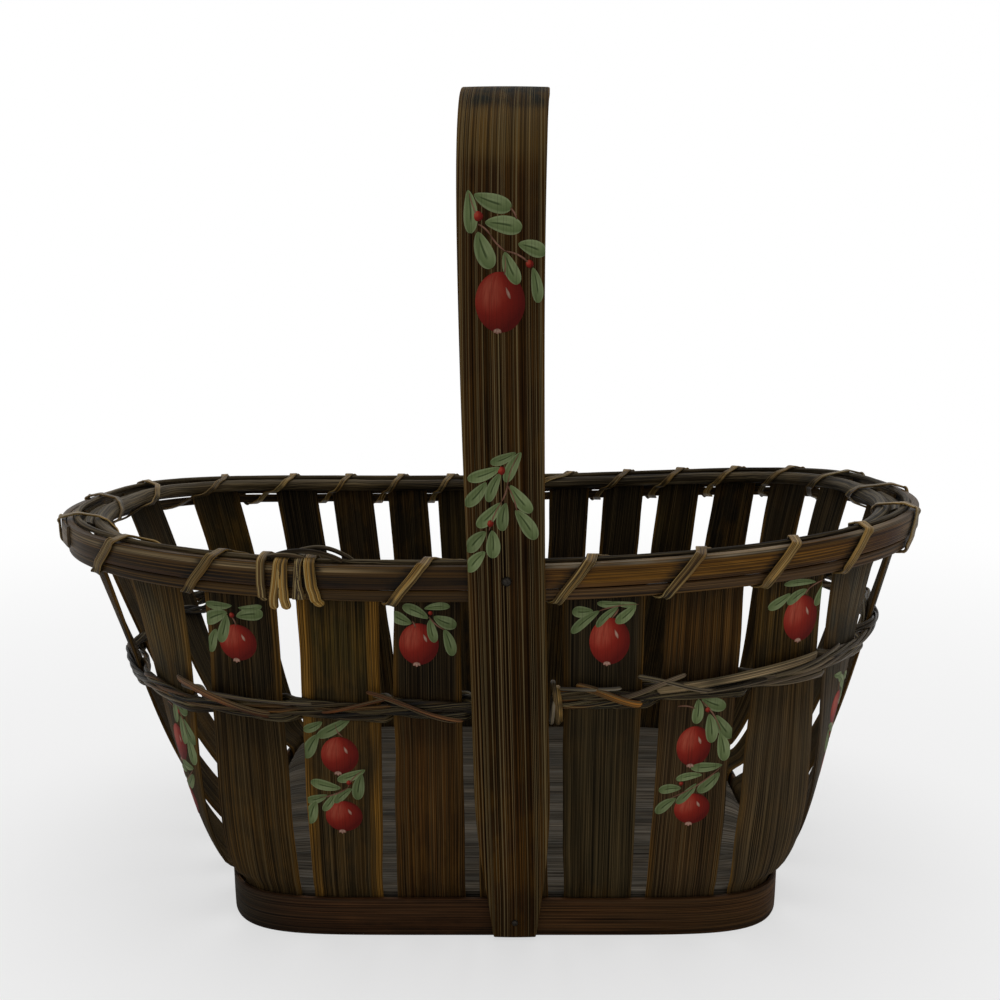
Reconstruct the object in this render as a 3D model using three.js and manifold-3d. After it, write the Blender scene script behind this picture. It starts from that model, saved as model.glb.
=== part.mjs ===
// Painted reed basket: an oblong market basket with a flat bent handle.
// Split staves stand between a foot band and a rim. The rim is two hoops with reed filler between
// them, bound by one spiral lashing. Three twined weavers ring the staves at mid height.
// Millimetres, +Z up, +X to the right and -Y to the front. The origin is under the basket's middle.
import * as THREE from 'three';
import { mergeVertices } from 'three/addons/utils/BufferGeometryUtils.js';
import Module from 'manifold-3d';

// Rim and foot, measured over their outer faces
const rimLength = 354;
const rimDepth = 220;
const rimSquareness = 2.67;
const rimShift = 1;
const rimHeight = 148;
const rimEndRise = 9;
const rimTilt = 2.8;
const footLength = 221;
const footDepth = 182;
const footSquareness = 7;
const footShift = 6.5;

// Wall between them
const staveThickness = 1.6;
const frontBelly = 2.5;
const endBelly = 12;
const bellyLow = 0.58;
const bellyRise = 6;
const staveFootLift = 1;
const staveTopDrop = 1.6;
const footBandHeight = 15;
const footBandThickness = 2;
const wallBendRadius = 5;

// Runs of staves: how many, the first and last one's middle on the rim and on the foot, as shares
// of the way round from the middle of the front towards the right, and their widths top and bottom.
// Where a stave strays from an even row at the rim, or is wider there than the rest, it says so.
const staveRuns = [
  {
    name: 'stave_front', count: 9, rim: [-0.1386, 0.1515], foot: [-0.1693, 0.1789],
    width: [27.5, 26],
    stray: [0, 5, 8, 5.7, -0.5, 0, 3, 3, 1.5],
    extraWidth: [0, 0, 2.5, -4, -5.5, 1.5, 1.5, -0.5, -2],
  },
  { name: 'stave_right', count: 2, rim: [0.2, 0.249], foot: [0.221, 0.258], width: [27, 22] },
  {
    name: 'stave_back', count: 11, rim: [0.2983, 0.6135], foot: [0.2977, 0.6217],
    width: [21, 18.5],
    stray: [0, 0, 0, 0, 0, 0, 0, 2.6],
  },
  { name: 'stave_left', count: 4, rim: [0.661, 0.81], foot: [0.66, 0.79], width: [25, 22] },
];

// Rim
const hoopHeight = 8.4;
const hoopThickness = 3.2;
const hoopLap = 46;
const hoopLapTip = 0.9;
const hoopLapPlace = 0.765;
const rimEnds = { right: 0.25, left: 0.75 };
const underHoopHeight = 4;
const underHoopThickness = 2.2;
const innerHoopDiameter = 5.8;
const innerHoopDrop = 3.1;
const fillerDiameter = 2.2;
const fillerLift = 0.4;
const endReedDiameter = 4.4;
const endReedLength = 42;
const endReedSpread = 26;
const endRoomStart = 0.72;
const lashingWidth = 3.2;
const lashingThickness = 0.8;
const lashingLean = 15;
const lashingSag = 0.6;
const lashingTuck = 2;
const knotNumber = 1;

// Twined weavers
const weaverHeight = 94;
const weaverTilt = 9;
const weaverEndRise = 8;
const weaverWidth = 2.6;
const weaverThickness = 1.9;
const weaverTuck = 0.8;
const weaverStart = 0.75;

// Floor boards
const floorTop = 16;
const floorThickness = 5;
const floorSeam = -56.5;
const floorEase = 0.9;

// Handle: widths of the strip at its tip, at the rim and over the grip
const handleTop = 319;
const handleThickness = 3;
const handleTipWidth = 16;
const handleShoulderWidth = 27.4;
const handleShoulder = 66;
const handleRimWidth = 26.6;
const handleGripWidth = 32.3;
const handleLegReach = 165;
const handleCrownReach = 84;
const handleEdge = 0.6;
const handleTipLift = 0.6;
const handleBackStray = 3.8;

// Nails
const nailHeadDiameter = 3.4;
const nailShankDiameter = 1.6;
const nailDrop = 4.4;
const tackHeadDiameter = 2.4;
const tackShankDiameter = 1.2;
const tackHeight = 7.5;
const nailHeadRise = 0.9;
const nailHeadFlat = 0.8;
const nailHeadShoulder = 0.7;
const nailHoleOver = 1.2;

// Clearances
const clearance = 0.4;
const weaverClearance = 0.5;
const lapClearance = 0.3;
const lashingEase = 0.35;
const nailClearance = 0.3;

// Fineness of the solids
const hoopSteps = 96;
const lapSteps = 6;
const endReedSteps = 8;
const reedSides = 8;
const fillerSides = 6;
const turnPerStep = 0.15;
const staveLevels = 8;
const staveLevelGrowth = 1.3;
const ovalSamples = 2400;
const archSteps = 30;
const nailSides = 12;

const wasm = await Module();
wasm.setup();

const clamp = (value, low, high) => Math.min(Math.max(value, low), high);
const lerp = (a, b, t) => a + (b - a) * t;
const ease = (t) => clamp(t, 0, 1) ** 2 * (3 - 2 * clamp(t, 0, 1));

// A superellipse sampled evenly along its girth, from the middle of the front towards the right
function makeOval(halfLength, halfDepth, squareness, shift) {
  const raw = [];
  for (let i = 0; i <= ovalSamples; i++) {
    const t = (2 * Math.PI * i) / ovalSamples - Math.PI / 2;
    const c = Math.cos(t);
    const s = Math.sin(t);
    const x = halfLength * Math.sign(c) * Math.abs(c) ** (2 / squareness);
    const y = halfDepth * Math.sign(s) * Math.abs(s) ** (2 / squareness);
    const nx = Math.sign(x) * Math.abs(x / halfLength) ** (squareness - 1) / halfLength;
    const ny = Math.sign(y) * Math.abs(y / halfDepth) ** (squareness - 1) / halfDepth;
    const size = Math.hypot(nx, ny);
    raw.push({ x: x + shift, y, nx: nx / size, ny: ny / size, s: 0 });
  }
  for (let i = 1; i < raw.length; i++) {
    raw[i].s = raw[i - 1].s + Math.hypot(raw[i].x - raw[i - 1].x, raw[i].y - raw[i - 1].y);
  }
  const girth = raw[raw.length - 1].s;
  const at = (distance) => {
    const s = ((distance % girth) + girth) % girth;
    let low = 0;
    let high = raw.length - 1;
    while (high - low > 1) {
      const middle = (low + high) >> 1;
      if (raw[middle].s <= s) low = middle;
      else high = middle;
    }
    const a = raw[low];
    const b = raw[high];
    const t = (s - a.s) / (b.s - a.s);
    return {
      x: lerp(a.x, b.x, t),
      y: lerp(a.y, b.y, t),
      nx: lerp(a.nx, b.nx, t),
      ny: lerp(a.ny, b.ny, t),
    };
  };
  return { girth, at };
}

// The wall surface is the middle of the staves. The hoops and the foot band lie outside it.
const staveHalf = staveThickness / 2;
const hoopInnerFace = staveHalf + clearance;
const hoopOuterFace = hoopInnerFace + hoopThickness;
const bandOuterFace = staveHalf + clearance + footBandThickness;
const rim = makeOval(
  rimLength / 2 - hoopOuterFace, rimDepth / 2 - hoopOuterFace, rimSquareness, rimShift);
const foot = makeOval(
  footLength / 2 - bandOuterFace, footDepth / 2 - bandOuterFace, footSquareness, footShift);

function rimTopAt(x) {
  const share = (2 * x) / rimLength;
  return rimHeight + rimTilt * share + rimEndRise * share * share;
}

// How far the wall bellies out at a height: from the foot band up, fullest low down, and far more
// at the ends than at the front and the back. nx is the end's share of the way out.
function bellyAt(z, top, nx) {
  const over = z - footBandHeight;
  const share = clamp(over / (top - footBandHeight), 0, 1);
  const full = lerp(frontBelly, endBelly, nx * nx);
  return full * Math.sin(Math.PI * share ** bellyLow) * ease(over / bellyRise);
}

// A point of the wall: above the foot band the wall leans out to the rim with a soft bend and a
// belly. off is the distance outside the staves' middle surface.
function wallPoint(footAt, rimAt, z, off) {
  const f = foot.at(footAt);
  const r = rim.at(rimAt);
  const top = rimTopAt(r.x);
  const over = z - footBandHeight;
  const eased = (over + Math.hypot(over, wallBendRadius)) / 2;
  const u = clamp(eased / (top - footBandHeight), 0, 1);
  const nx = lerp(f.nx, r.nx, u);
  const ny = lerp(f.ny, r.ny, u);
  const size = Math.hypot(nx, ny);
  const out = off + bellyAt(z, top, nx / size);
  return new THREE.Vector3(
    lerp(f.x, r.x, u) + (nx / size) * out, lerp(f.y, r.y, u) + (ny / size) * out, z);
}

// A point of the hoops, which stand upright round the stave tops. off is measured from the staves'
// middle at the rim, and drop from the rim's top.
function hoopPoint(rimAt, off, drop) {
  const r = rim.at(rimAt);
  return new THREE.Vector3(r.x + r.nx * off, r.y + r.ny * off, rimTopAt(r.x) + drop);
}

// Every stave's place and widths, in order round the basket
function placeStaves() {
  const staves = [];
  for (const run of staveRuns) {
    for (let i = 0; i < run.count; i++) {
      const t = i / (run.count - 1);
      const stray = run.stray?.[i] ?? 0;
      const extra = run.extraWidth?.[i] ?? 0;
      staves.push({
        name: `${run.name}_${i + 1}`,
        rimAt: lerp(run.rim[0], run.rim[1], t) * rim.girth + stray,
        footAt: lerp(run.foot[0], run.foot[1], t) * foot.girth,
        rimHalf: (run.width[0] + extra) / 2,
        footHalf: run.width[1] / 2,
      });
    }
  }
  return staves;
}
const staves = placeStaves();
const frontStave = staves.find((stave) => stave.name === 'stave_front_5');
const backStave = staves.find((stave) => stave.name === 'stave_back_7');
// The handle stands on the middle stave of the front and strays a little from the back one
const frontSeat = frontStave;
const backSeat = { ...backStave, rimAt: backStave.rimAt + handleBackStray };

// Stave number k may run past the last one: each full turn adds one girth
function staveAt(k) {
  const turn = Math.floor(k / staves.length);
  const stave = staves[k - turn * staves.length];
  return {
    ...stave,
    rimAt: stave.rimAt + turn * rim.girth,
    footAt: stave.footAt + turn * foot.girth,
  };
}

// The place on one oval that lies in line with a place on the other, read off the row of staves
function matchPlace(place, from, to, fromGirth, toGirth) {
  const turn = Math.floor((place - staves[0][from]) / fromGirth);
  const s = place - turn * fromGirth;
  let k = 0;
  while (k < staves.length - 1 && staves[k + 1][from] <= s) k++;
  const a = staveAt(k);
  const b = staveAt(k + 1);
  const t = (s - a[from]) / (b[from] - a[from]);
  return lerp(a[to], b[to], t) + turn * toGirth;
}
const footUnder = (rimAt) => matchPlace(rimAt, 'rimAt', 'footAt', rim.girth, foot.girth);
const rimOver = (footAt) => matchPlace(footAt, 'footAt', 'rimAt', foot.girth, rim.girth);

// Places round an oval for a hoop's sections: closer together where the oval turns more
function hoopPlaces(oval) {
  const places = [];
  const grid = 8 * hoopSteps;
  let turned = 0;
  let before = oval.at(0);
  for (let i = 1; i <= grid; i++) {
    const s = (oval.girth * i) / grid;
    const here = oval.at(s);
    turned += Math.acos(clamp(here.nx * before.nx + here.ny * before.ny, -1, 1));
    before = here;
    const measure = 0.5 * i / grid + (0.5 * turned) / (2 * Math.PI);
    if (measure * hoopSteps >= places.length + 1 || i === grid) places.push(s);
  }
  return places;
}
const rimPlaces = hoopPlaces(rim);
const footPlaces = hoopPlaces(foot);

// A solid through rings of points. A closed one joins its last ring to its first, and an open one
// has flat ends. The faces are turned outwards by the sign of the volume.
function loft(rings, closed) {
  const sides = rings[0].length;
  const positions = rings.flat().flatMap((p) => [p.x, p.y, p.z]);
  const index = [];
  const spans = closed ? rings.length : rings.length - 1;
  for (let i = 0; i < spans; i++) {
    const a = i * sides;
    const b = ((i + 1) % rings.length) * sides;
    for (let j = 0; j < sides; j++) {
      const k = (j + 1) % sides;
      index.push(a + j, b + j, b + k, a + j, b + k, a + k);
    }
  }
  if (!closed) {
    const last = (rings.length - 1) * sides;
    for (let j = 0; 2 * j + 2 < sides; j++) {
      const left = j;
      const right = sides - 1 - j;
      index.push(left, left + 1, right);
      index.push(last + left, last + right, last + left + 1);
      if (right - left > 2) {
        index.push(left + 1, right - 1, right);
        index.push(last + left + 1, last + right, last + right - 1);
      }
    }
  }
  const geometry = new THREE.BufferGeometry();
  geometry.setAttribute('position', new THREE.Float32BufferAttribute(positions, 3));
  geometry.setIndex(volumeOf(positions, index) > 0 ? index : index.toReversed());
  return geometry;
}

function volumeOf(positions, index) {
  const corner = (i) => new THREE.Vector3(...positions.slice(3 * index[i], 3 * index[i] + 3));
  let six = 0;
  for (let i = 0; i < index.length; i += 3) {
    six += corner(i).dot(corner(i + 1).cross(corner(i + 2)));
  }
  return six;
}

function toManifold(geometry) {
  const bare = geometry.clone();
  bare.deleteAttribute('normal');
  bare.deleteAttribute('uv');
  const merged = mergeVertices(bare, 1e-4);
  return new wasm.Manifold(new wasm.Mesh({
    numProp: 3,
    vertProperties: merged.attributes.position.array,
    triVerts: new Uint32Array(merged.index.array),
  }));
}

function fromManifold(solid) {
  const mesh = solid.getMesh();
  const geometry = new THREE.BufferGeometry();
  geometry.setAttribute('position', new THREE.BufferAttribute(mesh.vertProperties, 3));
  geometry.setIndex(new THREE.BufferAttribute(mesh.triVerts, 1));
  return geometry;
}

function cut(geometry, cutters) {
  let solid = toManifold(geometry);
  for (const cutter of cutters) solid = solid.subtract(toManifold(cutter));
  return fromManifold(solid);
}

// Corners of a bar's section between two offsets from the wall and two heights
function boxSection(footAt, rimAt, inner, outer, low, high) {
  return [[inner, low], [outer, low], [outer, high], [inner, high]].map(
    ([off, z]) => wallPoint(footAt, rimAt, z, off));
}

// Corners of an upright hoop's section between two offsets and two drops
function hoopSection(rimAt, inner, outer, low, high) {
  return [[inner, low], [outer, low], [outer, high], [inner, high]].map(
    ([off, drop]) => hoopPoint(rimAt, off, drop));
}

// Corners of a round bar's section
function roundSection(footAt, rimAt, off, z, radius, sides) {
  const points = [];
  for (let i = 0; i < sides; i++) {
    const turn = (2 * Math.PI * (i + 0.5)) / sides;
    points.push(wallPoint(
      footAt, rimAt, z + radius * Math.sin(turn), off + radius * Math.cos(turn)));
  }
  return points;
}

// One stave: curved across to the oval, tapered down to the foot, bent over the foot band
function makeStave(stave) {
  const across = staveDivisions(stave);
  const rings = [];
  for (let i = 0; i <= staveLevels; i++) {
    const ring = [];
    for (const side of [1, -1]) {
      for (let j = 0; j <= across; j++) {
        const share = side * (1 - (2 * j) / across);
        const rimAt = stave.rimAt + share * stave.rimHalf;
        const footAt = stave.footAt + share * stave.footHalf;
        const top = rimTopAt(rim.at(rimAt).x) - staveTopDrop;
        const z = staveLevelHeight(i, top);
        ring.push(wallPoint(footAt, rimAt, z, side * staveHalf));
      }
    }
    rings.push(ring);
  }
  return loft(rings, false);
}

// Levels of a stave: its foot, three round the bend, and the rest up to its top, closer low down
function staveLevelHeight(level, top) {
  const bend = [
    staveFootLift, footBandHeight - wallBendRadius, footBandHeight,
    footBandHeight + wallBendRadius];
  if (level < bend.length) return bend[level];
  const last = bend.length - 1;
  const share = (level - last) / (staveLevels - last);
  return lerp(bend[last], top, share ** staveLevelGrowth);
}

// Enough strips across a stave for the turn of the oval where it stands
function staveDivisions(stave) {
  let turn = 0;
  for (const [oval, at, half] of [
    [rim, stave.rimAt, stave.rimHalf], [foot, stave.footAt, stave.footHalf]]) {
    const a = oval.at(at - half);
    const b = oval.at(at + half);
    turn = Math.max(turn, Math.acos(clamp(a.nx * b.nx + a.ny * b.ny, -1, 1)));
  }
  return Math.max(2, Math.ceil(turn / turnPerStep));
}

// A lapped hoop: a strip that goes once round and on over its own start. Both ends are thinned
// over the lap. faceAt gives how far the hoop's outer face stands out beyond its plain place.
const lapStart = hoopLapPlace * rim.girth;
function hoopFaces(s) {
  const past = s - lapStart - rim.girth;
  const tipShare = clamp((s - lapStart) / hoopLap, 0, 1);
  const startThickness = lerp(hoopLapTip, hoopThickness, tipShare);
  if (past < -hoopLap) {
    return { inner: hoopInnerFace, outer: hoopInnerFace + startThickness };
  }
  const climb = clamp(past / hoopLap + 1, 0, 1);
  const over = clamp(past / hoopLap, 0, 1);
  const under = lerp(hoopLapTip, hoopThickness, over) + lapClearance;
  const inner = hoopInnerFace + (past < 0 ? climb * (hoopLapTip + lapClearance) : under);
  return { inner, outer: inner + lerp(hoopThickness, hoopLapTip, over) };
}
function makeOuterHoop() {
  const lap = [];
  for (let i = 0; i <= lapSteps; i++) lap.push(lapStart + (hoopLap * i) / lapSteps);
  const lapEnd = lapStart + hoopLap;
  const plain = rimPlaces.map((s) => (s < lapEnd ? s + rim.girth : s))
    .filter((s) => s < lapStart + rim.girth).sort((a, b) => a - b);
  const places = [...lap, ...plain, ...lap.map((s) => s + rim.girth)];
  return loft(places.map((s) => {
    const faces = hoopFaces(s);
    return hoopSection(s, faces.inner, faces.outer, -hoopHeight, 0);
  }), false);
}

// Outer face of the rim at a place, over the lap too
function rimOuterFace(rimAt) {
  const turns = Math.floor((rimAt - lapStart) / rim.girth);
  const s = rimAt - turns * rim.girth;
  const second = s + rim.girth;
  const plain = hoopFaces(s).outer;
  if (second <= lapStart + rim.girth + hoopLap) return Math.max(plain, hoopFaces(second).outer);
  return plain;
}

const underHoopTop = -hoopHeight - clearance;
const underHoopBottom = underHoopTop - underHoopHeight;
const underHoopOuterFace = hoopInnerFace + underHoopThickness;
function makeUnderHoop() {
  return loft(rimPlaces.map((s) => hoopSection(
    s, hoopInnerFace, underHoopOuterFace, underHoopBottom, underHoopTop)), true);
}

// The inner hoop leaves room for the end reeds between itself and the stave tops
const innerHoopRadius = innerHoopDiameter / 2;
function endRoom(rimAt) {
  const share = Math.abs((2 * (rim.at(rimAt).x - rimShift)) / (rimLength - 2 * hoopOuterFace));
  return (endReedDiameter + clearance) * ease((share - endRoomStart) / (1 - endRoomStart));
}
function innerHoopOff(rimAt) {
  return -(staveHalf + clearance + innerHoopRadius + endRoom(rimAt));
}
function makeRoundHoop(offAt, drop, radius, sides) {
  return loft(rimPlaces.map((s) => roundSection(
    footUnder(s), s, offAt(s), rimTopAt(rim.at(s).x) + drop, radius, sides)), true);
}
function makeInnerHoop() {
  return makeRoundHoop(innerHoopOff, -innerHoopDrop, innerHoopRadius, reedSides);
}

// The filler is a thin reed that covers the stave tops
const fillerRadius = fillerDiameter / 2;
const fillerOff = hoopInnerFace - clearance - fillerRadius;
function makeFiller() {
  return makeRoundHoop(() => fillerOff, fillerLift, fillerRadius, fillerSides);
}

// Short reeds with cut ends pack the rim at each end, two in line
function makeEndReed(middle) {
  const radius = endReedDiameter / 2;
  const off = -(staveHalf + clearance + radius);
  const rings = [];
  for (let i = 0; i <= endReedSteps; i++) {
    const s = middle + endReedLength * (i / endReedSteps - 0.5);
    const z = rimTopAt(rim.at(s).x) - staveTopDrop - radius;
    rings.push(roundSection(footUnder(s), s, off, z, radius, reedSides));
  }
  return loft(rings, false);
}

// Where the lashing goes through the gap after stave k: its middle, or beside the handle
function lashingPlace(k) {
  const a = staveAt(k);
  const b = staveAt(k + 1);
  const middle = (a.rimAt + a.rimHalf + b.rimAt - b.rimHalf) / 2;
  if (a.name !== frontStave.name && a.name !== backStave.name) return middle;
  const stray = a.name === backStave.name ? handleBackStray : 0;
  const beside = a.rimAt + stray + (handleRimWidth + lashingWidth) / 2 + clearance;
  return Math.max(middle, beside);
}

// The spiral lashing: one strip that comes out through each gap under the hoops, leans up over the
// outer face, crosses the top and goes down inside to the next gap. It skips the gap before the
// handle on both sides, where it runs on along the inside. Its turns lie at shares of the lean
// over the outer face and of the way round the inner hoop.
const lashingHalf = lashingThickness / 2;
const lashingStand = clearance + lashingHalf;
const lashingCorner = 0.6 * lashingStand;
const faceShares = { under: 0.08, low: 0.14, seam: 0.36, middle: 0.62, high: 0.86, over: 0.9 };
const hoopTurns = [[90, 0.08], [135, 0.24], [180, 0.4], [225, 0.58], [270, 0.8]];
const exitShare = 0.95;
function lashingLoop(from, to) {
  const over = from + lashingLean;
  const inside = to - over;
  const bottom = underHoopBottom - lashingStand;
  const stops = [];
  const stop = (rimAt, off, drop) => stops.push({
    rimAt, point: wallPoint(footUnder(rimAt), rimAt, rimTopAt(rim.at(rimAt).x) + drop, off),
  });
  const onHoop = (rimAt, off, drop) => stops.push({ rimAt, point: hoopPoint(rimAt, off, drop) });
  const onUnder = (share, stand, drop) => onHoop(
    from + lashingLean * share, underHoopOuterFace + stand, drop);
  const onFace = (share, stand, drop) => onHoop(
    from + lashingLean * share, rimOuterFace(from + lashingLean * share) + stand, drop);
  stop(from, -staveHalf, bottom - lashingSag);
  onHoop(from, hoopInnerFace, bottom - lashingSag / 2);
  onUnder(faceShares.under, lashingCorner, bottom);
  onUnder(faceShares.low, lashingStand, underHoopBottom - lashingCorner);
  onFace(faceShares.seam, lashingStand, underHoopTop);
  onFace(faceShares.middle, lashingStand, -hoopHeight / 2);
  onFace(faceShares.high, lashingStand, lashingCorner);
  onFace(faceShares.over, lashingCorner, lashingStand);
  onHoop(over, fillerOff, fillerLift + fillerRadius + lashingStand);
  const round = (innerHoopRadius + lashingStand + lashingEase) / Math.cos(Math.PI / reedSides);
  for (const [degrees, share] of hoopTurns) {
    const angle = (degrees * Math.PI) / 180;
    const rimAt = over + inside * share;
    stop(rimAt, innerHoopOff(rimAt) + round * Math.cos(angle),
      round * Math.sin(angle) - innerHoopDrop);
  }
  stop(over + inside * exitShare, -(staveHalf + clearance + lashingTuck), underHoopTop);
  return stops;
}

// The whole strip, from the knot at the front left once round. It starts on the outer face.
function lashingRoute() {
  const skipped = [frontStave.name, backStave.name];
  const gaps = [];
  for (let k = knotNumber; k <= knotNumber + staves.length; k++) {
    if (!skipped.includes(staveAt(k + 1).name)) gaps.push(lashingPlace(k));
  }
  const stops = [];
  for (let i = 0; i + 1 < gaps.length; i++) stops.push(...lashingLoop(gaps[i], gaps[i + 1]));
  return stops.slice(2);
}

// Carries a flat strip along the route. Its broad side lies on the rim's own round.
function makeLashing() {
  const route = lashingRoute();
  const rings = route.map(({ rimAt, point }, i) => {
    const before = route[Math.max(i - 1, 0)].point;
    const after = route[Math.min(i + 1, route.length - 1)].point;
    const tangent = after.clone().sub(before).normalize();
    const place = rim.at(rimAt);
    const along = new THREE.Vector3(-place.ny, place.nx, 0);
    const out = tangent.clone().cross(along).normalize();
    const side = out.clone().cross(tangent).normalize();
    return stripSection(point, side, out, lashingWidth, lashingThickness);
  });
  reportLeastGap('rim lashing', route.map(({ point }) => point), lashingWidth);
  return loft(rings, false);
}

function stripSection(p, side, out, width, thickness) {
  return [[-1, -1], [1, -1], [1, 1], [-1, 1]].map(([a, b]) => p.clone()
    .addScaledVector(side, (a * width) / 2).addScaledVector(out, (b * thickness) / 2));
}

// Prints the least distance between different turns of a winding, less its width. Points closer
// than half a turn along the strip belong to the same turn.
function reportLeastGap(name, middles, width) {
  const halfTurn = lashingLoop(0, 0).length / 2;
  let least = Infinity;
  for (let i = 0; i < middles.length; i++) {
    for (let j = i + Math.ceil(halfTurn); j < middles.length; j++) {
      least = Math.min(least, middles[i].distanceTo(middles[j]));
    }
  }
  console.log(`${name}: least gap to itself ${(least - width).toFixed(2)} mm`);
}

// One of the three twined weavers. It passes outside two staves and inside the third. It slants
// down over the two and climbs again inside, so that in every gap the three lie one above the
// other. phase is 0, 1 or 2: where in this round of three it starts.
const weaverOff = staveHalf + weaverClearance + weaverThickness / 2;
const weaverStep = weaverWidth + clearance;
const weaverSection = [[-1, 0], [-0.5, -1], [0.5, -1], [1, 0], [0.5, 1], [-0.5, 1]];
const weaverRound = [
  { side: 1, from: 1, to: 0 },
  { side: 1, from: 0, to: -1 },
  { side: -1, from: -1, to: 1 },
];
function weaverHeightAt(x) {
  const share = (2 * x) / rimLength;
  return weaverHeight + weaverTilt * share + weaverEndRise * share * share;
}
function weaverPoint(stave, share, past, off, lift) {
  const u = weaverHeight / rimHeight;
  const half = lerp(stave.footHalf, stave.rimHalf, u);
  const stretch = share + past / half;
  const rimAt = stave.rimAt + stretch * stave.rimHalf;
  const footAt = stave.footAt + stretch * stave.footHalf;
  const z = weaverHeightAt(rim.at(rimAt).x) + lift;
  return wallPoint(footAt, rimAt, z, off);
}
function weaverRoute(phase) {
  const route = [];
  const visit = (stave, share, past, off, lift) => route.push({
    point: weaverPoint(stave, share, past, off, lift * weaverStep),
    above: weaverPoint(stave, share, past, off, lift * weaverStep + 1),
  });
  const startStave = staves.indexOf(frontStave);
  const endStave = startStave + staves.length;
  for (let k = startStave; k <= endStave; k++) {
    const stave = staveAt(k);
    const turn = (k + phase) % weaverRound.length;
    const { side, from, to } = weaverRound[turn];
    const divisions = staveDivisions(stave);
    for (let j = 0; k > startStave && j <= divisions; j++) {
      const share = (2 * j) / divisions - 1;
      const past = j === 0 ? -weaverTuck : j === divisions ? weaverTuck : 0;
      visit(stave, share, past, side * weaverOff, lerp(from, to, j / divisions));
    }
    const staysOut = side === weaverRound[(turn + 1) % weaverRound.length].side;
    if (k === startStave || (k < endStave && !staysOut)) {
      visit(staveAt(k + 1), -1, 0, 0, to);
      const ahead = route.pop();
      visit(stave, 1, 0, 0, to);
      const t = k === startStave ? weaverStart : 0.5;
      route[route.length - 1].point.lerp(ahead.point, t);
      route[route.length - 1].above.lerp(ahead.above, t);
    }
  }
  return route;
}
function makeWeaver(phase) {
  const route = weaverRoute(phase);
  return loft(route.map(({ point, above }, i) => {
    const before = route[Math.max(i - 1, 0)].point;
    const after = route[Math.min(i + 1, route.length - 1)].point;
    const tangent = after.clone().sub(before).normalize();
    const out = tangent.clone().cross(above.clone().sub(point)).normalize();
    const up = out.clone().cross(tangent);
    return weaverSection.map(([a, b]) => point.clone()
      .addScaledVector(up, (a * weaverWidth) / 2).addScaledVector(out, (b * weaverThickness) / 2));
  }), false);
}

// The foot band stands flat on the ground
function makeFootBand() {
  return loft(footPlaces.map((s) => boxSection(
    s, rimOver(s), staveHalf + clearance, bandOuterFace, 0, footBandHeight)), true);
}

// Floor boards: the foot's oval inside the staves, parted along the seam
function makeFloorBoard(isFront) {
  const off = -(staveHalf + floorEase);
  const outline = footPlaces.map((s) => {
    const p = foot.at(s);
    return new THREE.Vector2(p.x + p.nx * off, p.y + p.ny * off);
  });
  const edge = floorSeam + (isFront ? -clearance / 2 : clearance / 2);
  const keeps = (p) => (isFront ? p.y <= edge : p.y >= edge);
  const kept = [];
  for (const [i, a] of outline.entries()) {
    const b = outline[(i + 1) % outline.length];
    if (keeps(a)) kept.push(a);
    if (keeps(a) !== keeps(b)) {
      const t = (edge - a.y) / (b.y - a.y);
      kept.push(new THREE.Vector2(lerp(a.x, b.x, t), edge));
    }
  }
  const board = new THREE.ExtrudeGeometry(
    new THREE.Shape(kept), { depth: floorThickness, bevelEnabled: false });
  board.translate(0, 0, floorTop - floorThickness);
  return board;
}

// The handle's middle line: up outside the front wall, over in an arch and down the back. It
// clears the foot band and, further up, the lower edge of the upright outer hoop.
const handleHalf = handleThickness / 2;
function handleOffAt(seat, z) {
  const top = rimTopAt(rim.at(seat.rimAt).x);
  const edge = hoopPoint(seat.rimAt, hoopOuterFace, -hoopHeight);
  const reach = edge.distanceTo(wallPoint(seat.footAt, seat.rimAt, edge.z, 0));
  const low = bandOuterFace + clearance + handleHalf;
  return lerp(low, reach + clearance + handleHalf, clamp(z / (top - hoopHeight), 0, 1));
}
function handleLeg(seat) {
  const top = rimTopAt(rim.at(seat.rimAt).x);
  const heights = [
    handleTipLift, footBandHeight - wallBendRadius, footBandHeight + wallBendRadius,
    handleShoulder, (handleShoulder + top) / 2, top - hoopHeight, top];
  return heights.map((z) => {
    const point = wallPoint(seat.footAt, seat.rimAt, z, handleOffAt(seat, z));
    return { point, width: handleWidthAt(z, top) };
  });
}
function handleWidthAt(z, top) {
  if (z < handleShoulder) {
    const t = z / handleShoulder;
    return lerp(handleTipWidth, handleShoulderWidth, Math.sin((t * Math.PI) / 2));
  }
  return lerp(handleShoulderWidth, handleRimWidth, (z - handleShoulder) / (top - handleShoulder));
}
function handleRoute() {
  const front = handleLeg(frontSeat);
  const back = handleLeg(backSeat).reverse();
  const a = front[front.length - 1].point;
  const b = back[0].point;
  const crown = new THREE.Vector3((a.x + b.x) / 2, (a.y + b.y) / 2, handleTop - handleHalf);
  const crownWay = b.clone().sub(a).setZ(0).normalize();
  const quarter = (end, before, direction) => {
    const rise = end.clone().sub(before).normalize();
    return new THREE.CubicBezierCurve3(
      end, end.clone().addScaledVector(rise, handleLegReach),
      crown.clone().addScaledVector(crownWay, direction * handleCrownReach), crown);
  };
  const up = quarter(a, front[front.length - 3].point, -1);
  const down = quarter(b, back[2].point, 1);
  const arch = [];
  for (let i = 1; i < archSteps; i++) {
    const t = (2 * i) / archSteps;
    const point = t <= 1 ? up.getPoint(t) : down.getPoint(2 - t);
    const width = lerp(handleRimWidth, handleGripWidth, Math.sin((t * Math.PI) / 2));
    arch.push({ point, width });
  }
  return [...front, ...arch, ...back];
}
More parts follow.
